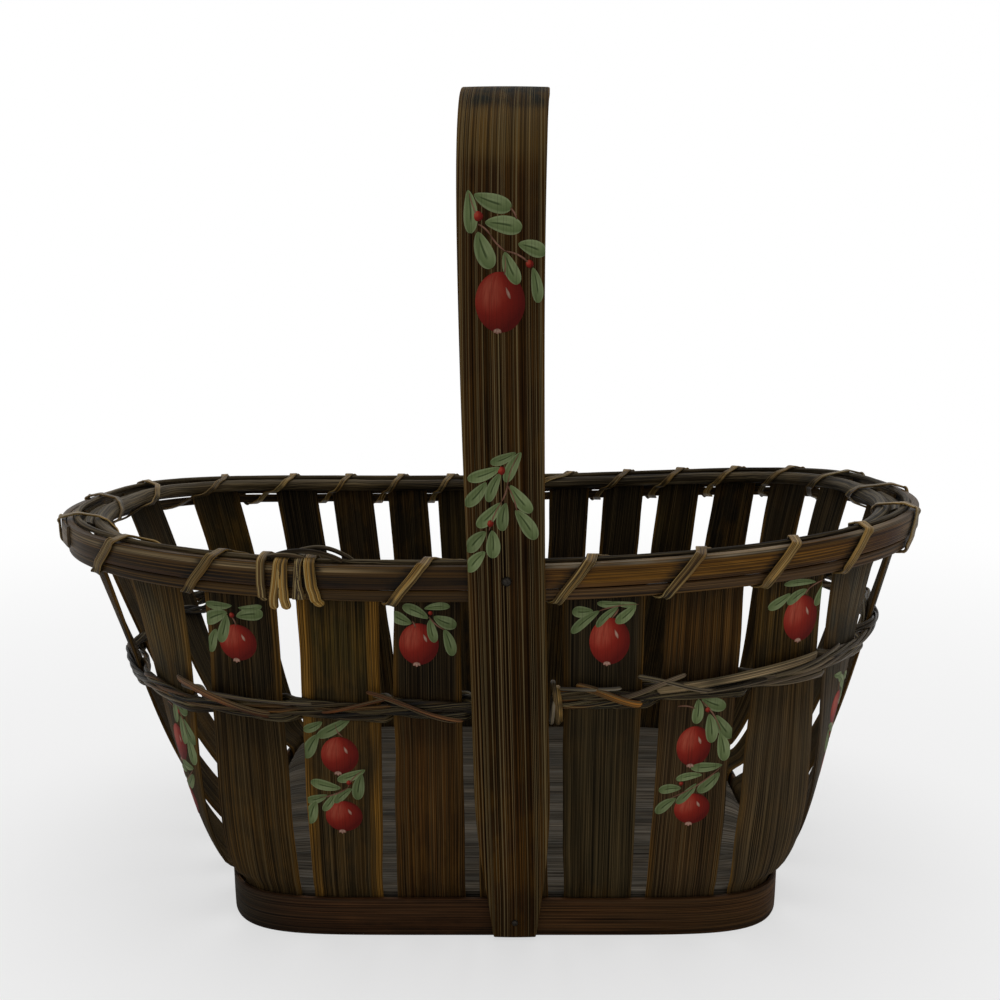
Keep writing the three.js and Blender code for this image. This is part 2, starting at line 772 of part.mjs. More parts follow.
function makeHandle() {
  const route = handleRoute();
  const rings = route.map(({ point, width }, i) => {
    const before = route[Math.max(i - 1, 0)].point;
    const after = route[Math.min(i + 1, route.length - 1)].point;
    const tangent = after.clone().sub(before).normalize();
    const across = new THREE.Vector3(1, 0, 0);
    const out = across.clone().cross(tangent).normalize();
    const w = width / 2;
    const h = handleHalf;
    const e = handleEdge;
    const corners = [
      [w - e, -h], [w, -h + e], [w, h - e], [w - e, h], [-w + e, h], [-w, h - e], [-w, -h + e],
      [-w + e, -h]];
    return corners.map(([x, y]) => point.clone()
      .addScaledVector(across, x).addScaledVector(out, y));
  });
  return loft(rings, false);
}

// Nails go in from the handle's outer face, square to the wall. Each goes as deep as the inner face
// of the last solid on its way. It names the solids it goes through, which get a hole for it.
function placeNail(name, seat, z, shank, head, innerFace, through) {
  const outer = wallPoint(seat.footAt, seat.rimAt, z, handleOffAt(seat, z) + handleHalf);
  const inner = wallPoint(seat.footAt, seat.rimAt, z, innerFace);
  const reach = outer.distanceTo(inner);
  const way = outer.clone().sub(inner).normalize();
  return { name, outer, way, shank: shank / 2, head: head / 2, reach, through };
}
function placeNails() {
  return [['front', frontSeat], ['back', backSeat]].flatMap(([side, seat]) => [
    placeNail(
      `handle_nail_${side}`, seat, rimTopAt(rim.at(seat.rimAt).x) - nailDrop,
      nailShankDiameter, nailHeadDiameter, -staveHalf, ['handle', 'outer_hoop', seat.name]),
    placeNail(
      `foot_tack_${side}`, seat, tackHeight,
      tackShankDiameter, tackHeadDiameter, staveHalf + clearance, ['handle', 'foot_band']),
  ]);
}
const nails = placeNails();

// A solid turned about a nail's axis. A corner gives its radius and its height over the face.
function turnedOn(nail, corners) {
  const profile = corners.map(([radius, height]) => new THREE.Vector2(radius, height));
  const geometry = new THREE.LatheGeometry(profile, nailSides);
  const turn = new THREE.Quaternion().setFromUnitVectors(new THREE.Vector3(0, 1, 0), nail.way);
  geometry.applyQuaternion(turn);
  geometry.translate(nail.outer.x, nail.outer.y, nail.outer.z);
  return geometry;
}
function nailSolid({ reach, shank, head, ...nail }) {
  const seat = clearance / 2;
  return turnedOn(nail, [
    [0, -reach], [shank, -reach], [shank, seat], [head, seat],
    [head * nailHeadFlat, seat + nailHeadRise * nailHeadShoulder], [0, seat + nailHeadRise]]);
}
function nailHole({ reach, shank, ...nail }) {
  const low = -reach - nailHoleOver;
  const radius = shank + nailClearance;
  return turnedOn(nail, [[0, low], [radius, low], [radius, nailHoleOver], [0, nailHoleOver]]);
}

// Finishes: stained split bamboo and reed, darker inside the weave, and blackened nails
const finishes = {
  stave: { color: 0x3b2a1a, roughness: 0.62, metalness: 0 },
  hoop: { color: 0x5a3d20, roughness: 0.5, metalness: 0 },
  reed: { color: 0x3a342b, roughness: 0.6, metalness: 0 },
  lashing: { color: 0x7a6238, roughness: 0.55, metalness: 0 },
  band: { color: 0x3d2618, roughness: 0.55, metalness: 0 },
  board: { color: 0x55504a, roughness: 0.8, metalness: 0 },
  handle: { color: 0x43301c, roughness: 0.5, metalness: 0 },
  nail: { color: 0x4a4640, roughness: 0.45, metalness: 0.8 },
};

const basket = new THREE.Group();
function add(name, geometry, finish) {
  const holes = nails.filter((nail) => nail.through.includes(name)).map(nailHole);
  const solid = holes.length > 0 ? cut(geometry, holes) : geometry;
  solid.computeVertexNormals();
  const mesh = new THREE.Mesh(solid, new THREE.MeshStandardMaterial(finishes[finish]));
  mesh.name = name;
  basket.add(mesh);
}

add('foot_band', makeFootBand(), 'band');
add('floor_board_front', makeFloorBoard(true), 'board');
add('floor_board_back', makeFloorBoard(false), 'board');
for (const stave of staves) add(stave.name, makeStave(stave), 'stave');
add('outer_hoop', makeOuterHoop(), 'hoop');
add('under_hoop', makeUnderHoop(), 'hoop');
add('inner_hoop', makeInnerHoop(), 'reed');
add('rim_filler', makeFiller(), 'reed');
for (const [side, share] of Object.entries(rimEnds)) {
  const middle = share * rim.girth;
  add(`end_reed_${side}_1`, makeEndReed(middle - endReedSpread), 'reed');
  add(`end_reed_${side}_2`, makeEndReed(middle + endReedSpread), 'reed');
}
add('rim_lashing', makeLashing(), 'lashing');
add('weaver_first', makeWeaver(0), 'reed');
add('weaver_second', makeWeaver(1), 'reed');
add('weaver_third', makeWeaver(2), 'reed');
add('handle', makeHandle(), 'handle');
for (const nail of nails) add(nail.name, nailSolid(nail), 'nail');

export default basket;
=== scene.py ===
# %% [markdown]
# # A painted basket of split staves
# The real thing is an oblong market basket. Flat staves, split from bamboo, stand between a low
# band at the foot and a double hoop at the rim. A strip of cane winds round the rim and binds the
# hoops, three reeds are twined through the staves at mid height, and one broad strip is bent over
# as a handle. Everything is stained dark, and fruit sprigs are painted on the front.
#
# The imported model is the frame: it gives each piece its place. This script lays a finer skin over
# it, with the small unevenness that split wood has, and paints it.

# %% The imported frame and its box
import math
from collections import namedtuple

import bpy
import numpy as np
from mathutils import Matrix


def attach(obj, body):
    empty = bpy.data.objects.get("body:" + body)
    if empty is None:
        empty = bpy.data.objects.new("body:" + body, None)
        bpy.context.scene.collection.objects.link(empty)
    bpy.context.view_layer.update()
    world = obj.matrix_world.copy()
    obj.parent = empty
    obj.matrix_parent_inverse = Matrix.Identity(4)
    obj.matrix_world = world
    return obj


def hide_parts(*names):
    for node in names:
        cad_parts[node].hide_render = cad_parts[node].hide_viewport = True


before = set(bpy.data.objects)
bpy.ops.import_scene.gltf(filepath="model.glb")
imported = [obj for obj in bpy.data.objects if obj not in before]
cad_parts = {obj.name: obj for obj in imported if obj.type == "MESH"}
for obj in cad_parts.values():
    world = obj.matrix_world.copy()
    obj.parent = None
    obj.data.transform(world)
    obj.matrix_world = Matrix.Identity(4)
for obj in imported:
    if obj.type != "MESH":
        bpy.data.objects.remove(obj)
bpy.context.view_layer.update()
print("pieces in the frame:", len(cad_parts))

# %% [markdown]
# ## Sizes
# The model was made in millimetres, so the sizes here are millimetres too and are turned to
# metres once, where a mesh is written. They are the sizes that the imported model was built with.
# They could be measured off its solids, but a list of named sizes is easier to read.

# %% Sizes of the basket
MM = 0.001
RIM_LENGTH, RIM_DEPTH, RIM_SQUARENESS, RIM_SHIFT = 354, 220, 2.67, 1
RIM_HEIGHT, RIM_END_RISE, RIM_TILT = 148, 9, 2.8
FOOT_LENGTH, FOOT_DEPTH, FOOT_SQUARENESS, FOOT_SHIFT = 221, 182, 7, 6.5
STAVE_THICK, STAVE_LIFT, STAVE_DROP = 1.6, 1, 1.6
FRONT_BELLY, END_BELLY, BELLY_LOW, BELLY_RISE = 2.5, 12, 0.58, 6
BAND_HEIGHT, BAND_THICK, WALL_BEND = 15, 2, 5
HOOP_HEIGHT, HOOP_THICK = 8.4, 3.2
HOOP_LAP, HOOP_LAP_TIP, HOOP_LAP_PLACE = 46, 0.9, 0.765
UNDER_HEIGHT, UNDER_THICK = 4, 2.2
INNER_DIAMETER, INNER_DROP = 5.8, 3.1
FILLER_DIAMETER, FILLER_LIFT = 2.2, 0.4
END_REED_DIAMETER, END_REED_LENGTH, END_REED_SPREAD, END_ROOM_START = 4.4, 42, 26, 0.72
LASHING_LEAN = 15
WEAVER_HEIGHT, WEAVER_TILT, WEAVER_END_RISE, WEAVER_WIDTH = 94, 9, 8, 2.6
FLOOR_TOP, FLOOR_THICK, FLOOR_SEAM, FLOOR_EASE = 16, 5, -56.5, 0.9
HANDLE_TOP, HANDLE_THICK, HANDLE_STRAY = 319, 3, 3.8
HANDLE_TIP, HANDLE_SHOULDER, HANDLE_AT_RIM, HANDLE_GRIP = 16, 27.4, 26.6, 32.3
HANDLE_SHOULDER_HEIGHT, HANDLE_REACH, HANDLE_CROWN = 66, 165, 84
CLEARANCE, LAP_CLEARANCE = 0.4, 0.3

STAVE_HALF = STAVE_THICK / 2
INNER_FACE = STAVE_HALF + CLEARANCE
OUTER_FACE = INNER_FACE + HOOP_THICK
BAND_FACE = INNER_FACE + BAND_THICK
print("rim", RIM_LENGTH, "by", RIM_DEPTH, "mm, foot", FOOT_LENGTH, "by", FOOT_DEPTH, "mm")

# %% [markdown]
# ## The wall as a map
# The rim and the foot are both rounded oblongs, and the wall leans from one to the other. A place
# on the wall is given by how far round it is and how high, so one function turns a stave, a hoop
# or a painted leaf into points in space. The alternative, placing every strip by hand, would have
# to be done again for each change of the shape.

# %% Ovals
OVAL_STEPS = 2401


def lerp(a, b, t):
    """From a at t = 0 to b at t = 1, in a straight line."""
    return a + (b - a) * t


def ease(t):
    """3 t^2 - 2 t^3 of t held between 0 and 1: starts and ends without a kink."""
    t = np.clip(t, 0, 1)
    return t * t * (3 - 2 * t)


def make_oval(half_length, half_depth, squareness, shift):
    """The curve |x/a|^n + |y/b|^n = 1, sampled by angle and measured along its girth from the
    middle of the front towards the right. Its normal is the gradient of that sum."""
    t = np.linspace(0, 2 * np.pi, OVAL_STEPS) - np.pi / 2
    c, s = np.cos(t), np.sin(t)
    x = half_length * np.sign(c) * np.abs(c) ** (2 / squareness)
    y = half_depth * np.sign(s) * np.abs(s) ** (2 / squareness)
    nx = np.sign(x) * np.abs(x / half_length) ** (squareness - 1) / half_length
    ny = np.sign(y) * np.abs(y / half_depth) ** (squareness - 1) / half_depth
    size = np.hypot(nx, ny)
    run = np.concatenate([[0], np.cumsum(np.hypot(np.diff(x), np.diff(y)))])
    return {"run": run, "rows": [x + shift, y, nx / size, ny / size], "girth": run[-1]}


def on_oval(oval, place):
    """x, y and the two parts of the normal at a distance round the oval."""
    s = np.mod(place, oval["girth"])
    return [np.interp(s, oval["run"], row) for row in oval["rows"]]


RIM = make_oval(
    RIM_LENGTH / 2 - OUTER_FACE, RIM_DEPTH / 2 - OUTER_FACE, RIM_SQUARENESS, RIM_SHIFT)
FOOT = make_oval(
    FOOT_LENGTH / 2 - BAND_FACE, FOOT_DEPTH / 2 - BAND_FACE, FOOT_SQUARENESS, FOOT_SHIFT)
print("girth of the rim %.0f mm, of the foot %.0f mm" % (RIM["girth"], FOOT["girth"]))

# %% The wall between them


def rim_top(x):
    """Height of the rim: a slight tilt plus a rise by the square of the distance from the middle."""
    share = 2 * x / RIM_LENGTH
    return RIM_HEIGHT + RIM_TILT * share + RIM_END_RISE * share * share


def top_at(rim_at):
    """Height of the rim at a place round it."""
    return rim_top(on_oval(RIM, rim_at)[0])


def belly(z, top, nx):
    """How far the wall bulges: sin(pi share^0.58) of the way up, fullest low down and started
    softly. Its size goes from the front's to the ends' by the square of the normal's x."""
    over = z - BAND_HEIGHT
    share = np.clip(over / (top - BAND_HEIGHT), 0, 1)
    full = lerp(FRONT_BELLY, END_BELLY, nx * nx)
    return full * np.sin(np.pi * share ** BELLY_LOW) * ease(over / BELLY_RISE)


def way_up(z, top):
    """Share of the way from the foot band to the rim: half of over + sqrt(over^2 + bend^2), by
    the same of the whole, so that it starts softly above the band."""
    over = z - BAND_HEIGHT
    return np.clip((over + np.hypot(over, WALL_BEND)) / 2 / (top - BAND_HEIGHT), 0, 1)


def wall(foot_at, rim_at, z, off):
    """A point at height z and off millimetres outside the staves' middle: the foot's and the
    rim's points mixed by the way up, plus off and the belly along the mixed normal."""
    fx, fy, fnx, fny = on_oval(FOOT, foot_at)
    rx, ry, rnx, rny = on_oval(RIM, rim_at)
    top = rim_top(rx)
    u = way_up(z, top)
    nx, ny = lerp(fnx, rnx, u), lerp(fny, rny, u)
    size = np.hypot(nx, ny)
    out = off + belly(z, top, nx / size)
    x = lerp(fx, rx, u) + nx / size * out
    y = lerp(fy, ry, u) + ny / size * out
    return np.stack(np.broadcast_arrays(x, y, z), -1)


def upright(rim_at, off, drop):
    """A point of the hoops, which stand upright: the rim's own point moved off along its normal,
    drop above the rim's top."""
    x, y, nx, ny = on_oval(RIM, rim_at)
    points = x + nx * off, y + ny * off, rim_top(x) + drop
    return np.stack(np.broadcast_arrays(*points), -1)


print("middle of the front at the rim, in mm:", np.round(wall(0.0, 0.0, RIM_HEIGHT, 0.0), 1))

# %% [markdown]
# ## The row of staves
# The makers space the staves by eye, so each stands a little off its even place. Four runs, one
# to a side, give the even places as shares of the girths, and the strays follow the photograph.
# Even steps alone would be shorter to write and would look made by a machine.

# %% Where the staves stand
# Name, count, first and last place on the rim and on the foot, and widths at the rim and foot
STAVE_RUNS = [
    ("stave_front", 9, (-0.1386, 0.1515), (-0.1693, 0.1789), (27.5, 26)),
    ("stave_right", 2, (0.2, 0.249), (0.221, 0.258), (27, 22)),
    ("stave_back", 11, (0.2983, 0.6135), (0.2977, 0.6217), (21, 18.5)),
    ("stave_left", 4, (0.661, 0.81), (0.66, 0.79), (25, 22)),
]
# How many mm each stave stands off its even place at the rim, and is wider there than its run
STRAYS = {"stave_front": [0, 5, 8, 5.7, -0.5, 0, 3, 3, 1.5], "stave_back": [0] * 7 + [2.6] + [0] * 3}
EXTRAS = {"stave_front": [0, 0, 2.5, -4, -5.5, 1.5, 1.5, -0.5, -2]}
Stave = namedtuple("Stave", "name rim_at foot_at rim_half foot_half")


def place_staves():
    """Each stave's middle and half width on the rim and on the foot: even steps from the first
    place to the last, plus its stray, and its run's width plus its extra."""
    rows = []
    for name, count, rim, foot, width in STAVE_RUNS:
        share = np.linspace(0, 1, count)
        rim_at = lerp(*rim, share) * RIM["girth"] + STRAYS.get(name, [0] * count)
        foot_at = lerp(*foot, share) * FOOT["girth"]
        rim_half = (width[0] + np.array(EXTRAS.get(name, [0] * count))) / 2
        for i, row in enumerate(zip(rim_at, foot_at, rim_half), 1):
            rows.append(Stave(f"{name}_{i}", *row, width[1] / 2))
    return rows


STAVES = place_staves()
# The two staves behind the handle, by their number in the row
FRONT, BACK = 4, 17
# The row is repeated for turns before and after, so that a place past either end is found too
TURNS = np.array([[-1], [0], [1], [2]])
ROW_RIM = (np.array([row.rim_at for row in STAVES]) + TURNS * RIM["girth"]).ravel()
ROW_FOOT = (np.array([row.foot_at for row in STAVES]) + TURNS * FOOT["girth"]).ravel()


def foot_under(rim_at):
    """The place on the foot in line with a place on the rim, read off the row of staves."""
    return np.interp(rim_at, ROW_RIM, ROW_FOOT)


def rim_over(foot_at):
    """The place on the rim in line with a place on the foot."""
    return np.interp(foot_at, ROW_FOOT, ROW_RIM)


print(len(STAVES), "staves, from", STAVES[0].name, "to", STAVES[-1].name)

# %% [markdown]
# ## Skins on grids
# Every strip and reed is the same kind of shape: a section carried along a path. Its points make
# a grid, stations along the path by places round the section, and each cell of the grid is one
# face. numpy works the whole grid out at once, and foreach_set puts it into a mesh. A second grid
# holds the unrolled surface in millimetres, so that the grain follows every bend. A bevelled
# curve would do for a plain reed, but not for a strip whose width, edges and stain change.

# %% Uneven lines
KNOTS, BEFORE = 4096, 1000


def wander(place, seed, step, size=1.0):
    """Smooth uneven line: seeded random heights every step, joined by eased curves. It starts
    some knots before place 0, so that a place may be negative."""
    knots = np.random.default_rng(seed).uniform(-1, 1, KNOTS)
    t = np.asarray(place, float) / step + BEFORE
    i = np.floor(t).astype(int)
    return size * lerp(knots[i % KNOTS], knots[(i + 1) % KNOTS], ease(t - i))


print("an uneven line repeats after", KNOTS, "knots")

# %% Skins over grids


def skin(points, grain, closed=False, material=0, brush=None, **fields):
    """Faces over a grid of n stations by m places round the section. A closed skin joins its
    last station to its first, and an open one gets flat ends of cross faces. If the signed
    volume comes out negative, every face is turned round."""
    n, m = points.shape[:2]
    i = np.arange(n if closed else n - 1)[:, None]
    j = np.arange(m)[None, :]
    i2, j2 = (i + 1) % n, (j + 1) % m
    quads = np.stack([i * m + j, i * m + j2, i2 * m + j2, i2 * m + j], -1).reshape(-1, 4)
    flats = {"grain": grain} if brush is None else {"grain": grain, "brush": brush}
    maps = {}
    for key, flat in flats.items():
        cells = np.stack([flat[i, j], flat[i, j + 1], flat[i + 1, j + 1], flat[i + 1, j]], -2)
        maps[key] = cells.reshape(-1, 4, 2)
    if not closed:
        k = np.arange(m // 2 - 1)
        end = np.stack([k, m - 1 - k, m - 2 - k, k + 1], -1)
        quads = np.concatenate([quads, end, (n - 1) * m + end[:, ::-1]])
        for key, flat in flats.items():
            maps[key] = np.concatenate([maps[key], flat[0][end], flat[-1][end[:, ::-1]]])
    corners = points.reshape(-1, 3)
    a, b, c, d = (corners[quads[:, k]] for k in range(4))
    volume = np.einsum("ij,ij->", a, np.cross(b, c) + np.cross(c, d))
    if volume < 0:
        quads = quads[:, ::-1]
        maps = {key: cells[:, ::-1] for key, cells in maps.items()}
    tables = {}
    for key, value in fields.items():
        value = np.asarray(value, float)
        wide = (n, m, 3) if value.ndim and value.shape[-1] == 3 else (n, m)
        tables[key] = np.broadcast_to(value, wide).reshape((n * m,) + wide[2:])
    return {"corners": corners, "quads": quads, "maps": maps, "fields": tables,
            "material": np.full(len(quads), material)}


trial = skin(np.zeros((3, 4, 3)), np.zeros((3, 5, 2)))
print("a grid of 3 by 4 points gives", len(trial["quads"]), "faces with its ends")

# %% Skins to objects
SHARP = math.radians(50)


def make_piece(name, parts, materials, replaces=()):
    """One object from one or more skins, in place, in metres."""
    offsets = np.cumsum([0] + [len(part["corners"]) for part in parts])
    corners = np.concatenate([part["corners"] for part in parts]) * MM
    quads = np.concatenate([part["quads"] + offset for part, offset in zip(parts, offsets)])
    mesh = bpy.data.meshes.new(name)
    mesh.vertices.add(len(corners))
    mesh.vertices.foreach_set("co", corners.astype(np.float32).ravel())
    mesh.loops.add(quads.size)
    mesh.loops.foreach_set("vertex_index", quads.astype(np.int32).ravel())
    mesh.polygons.add(len(quads))
    mesh.polygons.foreach_set("loop_start", np.arange(0, quads.size, 4, dtype=np.int32))
    used = np.concatenate([part["material"] for part in parts])
    mesh.polygons.foreach_set("material_index", used.astype(np.int32))
    mesh.update(calc_edges=True)
    for key in parts[0]["maps"]:
        data = np.concatenate([part["maps"][key] for part in parts]).astype(np.float32)
        mesh.uv_layers.new(name=key).data.foreach_set("uv", data.ravel())
    for key, first in parts[0]["fields"].items():
        data = np.concatenate([part["fields"][key] for part in parts])
        if first.ndim == 2:
            data = np.concatenate([data, np.ones((len(data), 1))], 1)
            layer = mesh.attributes.new(key, "FLOAT_COLOR", "POINT")
            layer.data.foreach_set("color", data.astype(np.float32).ravel())
        else:
            layer = mesh.attributes.new(key, "FLOAT", "POINT")
            layer.data.foreach_set("value", data.astype(np.float32))
    mesh.polygons.foreach_set("use_smooth", np.ones(len(quads), bool))
    mesh.set_sharp_from_angle(angle=SHARP)
    for material in materials:
        mesh.materials.append(material)
    mesh.validate()
    piece = bpy.data.objects.new(name, mesh)
    bpy.context.scene.collection.objects.link(piece)
    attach(piece, "root")
    if replaces:
        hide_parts(*replaces)


print("edges sharper than %.0f degrees stay sharp" % math.degrees(SHARP))

# %% Sections of bars and reeds


def bar_table(face, edge):
    """Round-cornered bar as constants: a place is A (w - r) + B r across and C (h - r) + D r out.
    It starts at the right edge, and goes over the outer face, the left edge and the back."""
    turn = np.linspace(0, np.pi / 2, edge)
    step = np.linspace(1, -1, face + 2)[1:-1]
    one = np.ones(edge)
    corners = [
        np.stack([x * one, np.cos(turn + a), y * one, np.sin(turn + a)], 1)
        for x, y, a in ((1, 1, 0), (-1, 1, np.pi / 2), (-1, -1, np.pi), (1, -1, 1.5 * np.pi))]
    zero = np.zeros(face)
    over = np.stack([step, zero, zero + 1, zero + 1], 1)
    back = np.stack([-step, zero, zero - 1, zero - 1], 1)
    return np.concatenate([corners[0], over, corners[1], corners[2], back, corners[3]])


def bar_section(half_width, half_thick, radius, face=7, edge=3, crown=0.0):
    """Places round a bar for each station, across and out, with the outer face raised by
    crown (1 - (across / w)^2), and the way round them, counted from the outer face's middle."""
    a, b, c, d = bar_table(face, edge).T
    w = np.atleast_1d(np.asarray(half_width, float))[:, None]
    h = np.atleast_1d(np.asarray(half_thick, float))[:, None]
    across = a * (w - radius) + b * radius
    out = c * (h - radius) + d * radius + crown * (c > 0) * (1 - (across / w) ** 2)
    loop_a = np.concatenate([across, across[:, :1]], 1)
    loop_o = np.concatenate([out, out[:, :1]], 1)
    run = np.cumsum(np.hypot(np.diff(loop_a, axis=1), np.diff(loop_o, axis=1)), 1)
    run = np.concatenate([np.zeros((len(run), 1)), run], 1)
    return across, out, run - run[:, edge + face // 2][:, None]


def round_section(radius, sides=14):
    """Places round a reed for each station, and the way round them."""
    turn = 2 * np.pi * (np.arange(sides) + 0.5) / sides
    r = np.atleast_1d(np.asarray(radius, float))[:, None]
    run = r * 2 * np.pi * np.arange(sides + 1) / sides
    return r * np.cos(turn), r * np.sin(turn), run


print("a bar's section has", len(bar_table(7, 3)), "places, and a reed's", round_section(1.0)[0].size)

# %% Along a path
RIGHT, UP = np.array([1.0, 0, 0]), np.array([0, 0, 1.0])


def grain_grid(along, run, closed=False, girth=0.0):
    """The unrolled surface: round the section, and along the path."""
    along = np.asarray(along, float)
    if closed:
        along, run = np.append(along, along[0] + girth), np.concatenate([run, run[:1]])
    return np.stack(np.broadcast_arrays(run, along[:, None]), -1)


def unit(v):
    """Vectors divided by their lengths."""
    return v / np.linalg.norm(v, axis=-1, keepdims=True)


def heading(path):
    """Direction of a path at each of its points, from the points on both sides."""
    return unit(np.gradient(path, axis=0))


def path_length(path):
    """Millimetres from the start of a path to each of its points."""
    return np.concatenate([[0], np.cumsum(np.linalg.norm(np.diff(path, axis=0), axis=1))])


def rounded_ends(run, reach, least):
    """1 along a strip and nearly 0 at both ends, by a quarter circle over reach."""
    tip = np.clip(np.minimum(run, run[-1] - run) / reach, least, 1)
    return np.sqrt(tip * (2 - tip))


def softened(rows, count):
    """Each row averaged with its neighbours under a raised cosine, count rows wide. The ends
    are repeated outwards, so the line keeps its length."""
    bell = np.hanning(count + 2)[1:-1]
    bell = bell / bell.sum()
    padded = np.pad(rows, ((count // 2, count // 2), (0, 0)), "edge")
    return np.stack([np.convolve(padded[:, k], bell, "valid") for k in range(rows.shape[1])], 1)


print("once round the rim at its top: %.0f mm" % path_length(upright(RIM["run"], 0.0, 0.0))[-1])

# %% [markdown]
# ## The camera
# The photograph was taken from a little above the rim and close to the basket. The lens and the
# place come from fitting a pinhole camera to the outlines of rim, foot and handle, because a
# camera placed by eye leaves one of the three off when the other two are right.

# %% Camera
LENS, SENSOR = 39.6, 36
CAMERA_PLACE, CAMERA_DOWN = (0.004386, -0.477447, 0.231152), 0.162
camera_data = bpy.data.cameras.new("camera")
camera_data.sensor_width = SENSOR
camera_data.lens = LENS
camera = bpy.data.objects.new("camera", camera_data)
camera.location = CAMERA_PLACE
camera.rotation_euler = (math.pi / 2 - CAMERA_DOWN, 0, 0)
bpy.context.scene.collection.objects.link(camera)
bpy.context.scene.camera = camera
print("camera at", tuple(round(v, 3) for v in camera.location))

# %% [markdown]
# ## Stain and grain
# Split bamboo has straight fibres about a millimetre apart. The stain sinks in between them and
# rubs off their crests, so the wood shows fine pale lines on a dark ground, with amber where the
# stain is thin: along cut edges and in worn patches. The lines are a noise stretched along the
# grain, read from the unrolled surface. The slow changes of tone, which differ from strip to
# strip, come with the mesh as one colour, which on some pieces also carries painted shade,
# painted highlights and a painted reflection of the sky. Oiled stain barely shines on open grain,
# and more on the smooth skin of the hoop and the reeds, so the specular level goes with the piece.

# %% Colours and the node helper


def linear(code):
    """An sRGB hex colour as linear red, green and blue."""
    c = np.array([int(code[i:i + 2], 16) for i in (1, 3, 5)]) / 255
    return np.where(c <= 0.04045, c / 12.92, ((c + 0.055) / 1.055) ** 2.4)


def rgba(code):
    """The same with full alpha, as a node's colour socket takes it."""
    return (*linear(code), 1)


def add(tree, kind, *inputs, sockets=range(5), **settings):
    """Adds one shader node with its settings. Inputs go to the sockets in turn, or by name in one
    table. Each is a constant, a socket to link, or a node, of which the first output in use is
    linked."""
    node = tree.nodes.new("ShaderNode" + kind)
    for key, value in settings.items():
        setattr(node, key, value)
    table = inputs[0] if inputs and isinstance(inputs[0], dict) else dict(zip(sockets, inputs))
    for key, value in table.items():
        if isinstance(value, bpy.types.Node):
            value = next(output for output in value.outputs if output.enabled)
        if isinstance(value, bpy.types.NodeSocket):
            tree.links.new(value, node.inputs[key])
        else:
            node.inputs[key].default_value = value
    return node


# A Mix node of colours has its share in socket 0 and its two colours in sockets 6 and 7
MIX = {"sockets": (0, 6, 7), "data_type": "RGBA", "clamp_factor": True}


def new_material(name):
    """An empty material and its tree."""
    material = bpy.data.materials.new(name)
    material.use_nodes = True
    material.node_tree.nodes.clear()
    return material, material.node_tree


print("mid grey in linear light: %.3f" % linear("#808080")[0])

# %% Streaks along the grain
# Fine lines, bundles of fibres, broad changes of tone and bare crests: width and length as shares
# of a fibre's, both limits of the mask, detail and seed of the noise
FIBRE_STREAKS = ((0.42, 1.0, 0.36, 0.66, 2.0, 3.1), (1.5, 1.4, 0.44, 0.64, 3.0, 11.7),
                 (6, 1.2, 0.36, 0.64, 2.0, 27.3), (0.5, 1.8, 0.57, 0.66, 1.0, 51.3))


def streaks(tree, uv, across, along, low, high, detail=2.0, seed=0.0):
    """A mask from noise that is stretched along the grain: across and along are its grain in
    millimetres, and the mask rises from 0 to 1 between low and high."""
    place = add(tree, "Mapping",
                {"Vector": uv, "Location": (seed, seed, 0), "Scale": (1 / across, 1 / along, 1)})
    noise = add(tree, "TexNoise", {"Vector": place, "Scale": 1.0, "Detail": detail, "Roughness": 0.55},
                noise_dimensions="2D")
    return add(tree, "MapRange", noise.outputs["Fac"], low, high, interpolation_type="SMOOTHSTEP")


def stained_grain(tree, fibre, run, pale, amber, contrast):
    """Colour and height of stained split wood. The ground is the mesh's colour attribute, which
    holds the stain and on some pieces painted shade and highlights too, times a slow tint, and
    amber shows in worn patches and where edge falls from 1 to 0. Over it lie the fibres, bundles
    of them that took more stain, and a few bare pale ones, each a streak noise along the grain."""
    uv = add(tree, "UVMap", uv_map="grain")
    stain = add(tree, "Attribute", attribute_name="stain")
    worn, edge, glow = (add(tree, "Attribute", attribute_name=name).outputs["Fac"]
                        for name in ("worn", "edge", "glow"))
    fine, bundles, broad, bare = (streaks(tree, uv, fibre * across, run * along, *limits)
                                  for across, along, *limits in FIBRE_STREAKS)
    patch = streaks(tree, uv, 7.0, 18.0, 0.4, 0.64, 3.0, 41.9)
    tint = add(tree, "Mix", broad, (0.8, 0.79, 0.76, 1), (1.28, 1.24, 1.16, 1), **MIX)
    ground = add(tree, "Mix", 1.0, stain, tint, blend_type="MULTIPLY", **MIX)
    seam = add(tree, "Math", 1.0, edge, operation="SUBTRACT", use_clamp=True)
    lit_edge = add(tree, "Math", seam, glow, operation="MULTIPLY")
    thin = add(tree, "Math", worn, patch, operation="MULTIPLY")
    gold = add(tree, "Math", lit_edge, thin, operation="ADD", use_clamp=True)
    golden = add(tree, "Mix", gold, ground, rgba(amber), **MIX)
    low, high = 1 - 0.66 * contrast, 1 + 0.95 * contrast
    relief = add(tree, "Mix", fine, (low, low, low, 1), (high, high, high * 1.04, 1), **MIX)
    fibres = add(tree, "Mix", 1.0, golden, relief, blend_type="MULTIPLY", **MIX)
    shown = add(tree, "Math", bare, 0.5 * contrast, operation="MULTIPLY")
    lined = add(tree, "Mix", shown, fibres, rgba(pale), **MIX)
    sunk = add(tree, "Math", bundles, 0.62 * contrast, operation="MULTIPLY")
    colour = add(tree, "Mix", sunk, lined, (0.34, 0.31, 0.29, 1), blend_type="MULTIPLY", **MIX)
    height = add(tree, "Math", fine, bundles, operation="SUBTRACT")
    return colour, height


print("kinds of streaks:", len(FIBRE_STREAKS))

# %% Stained woods


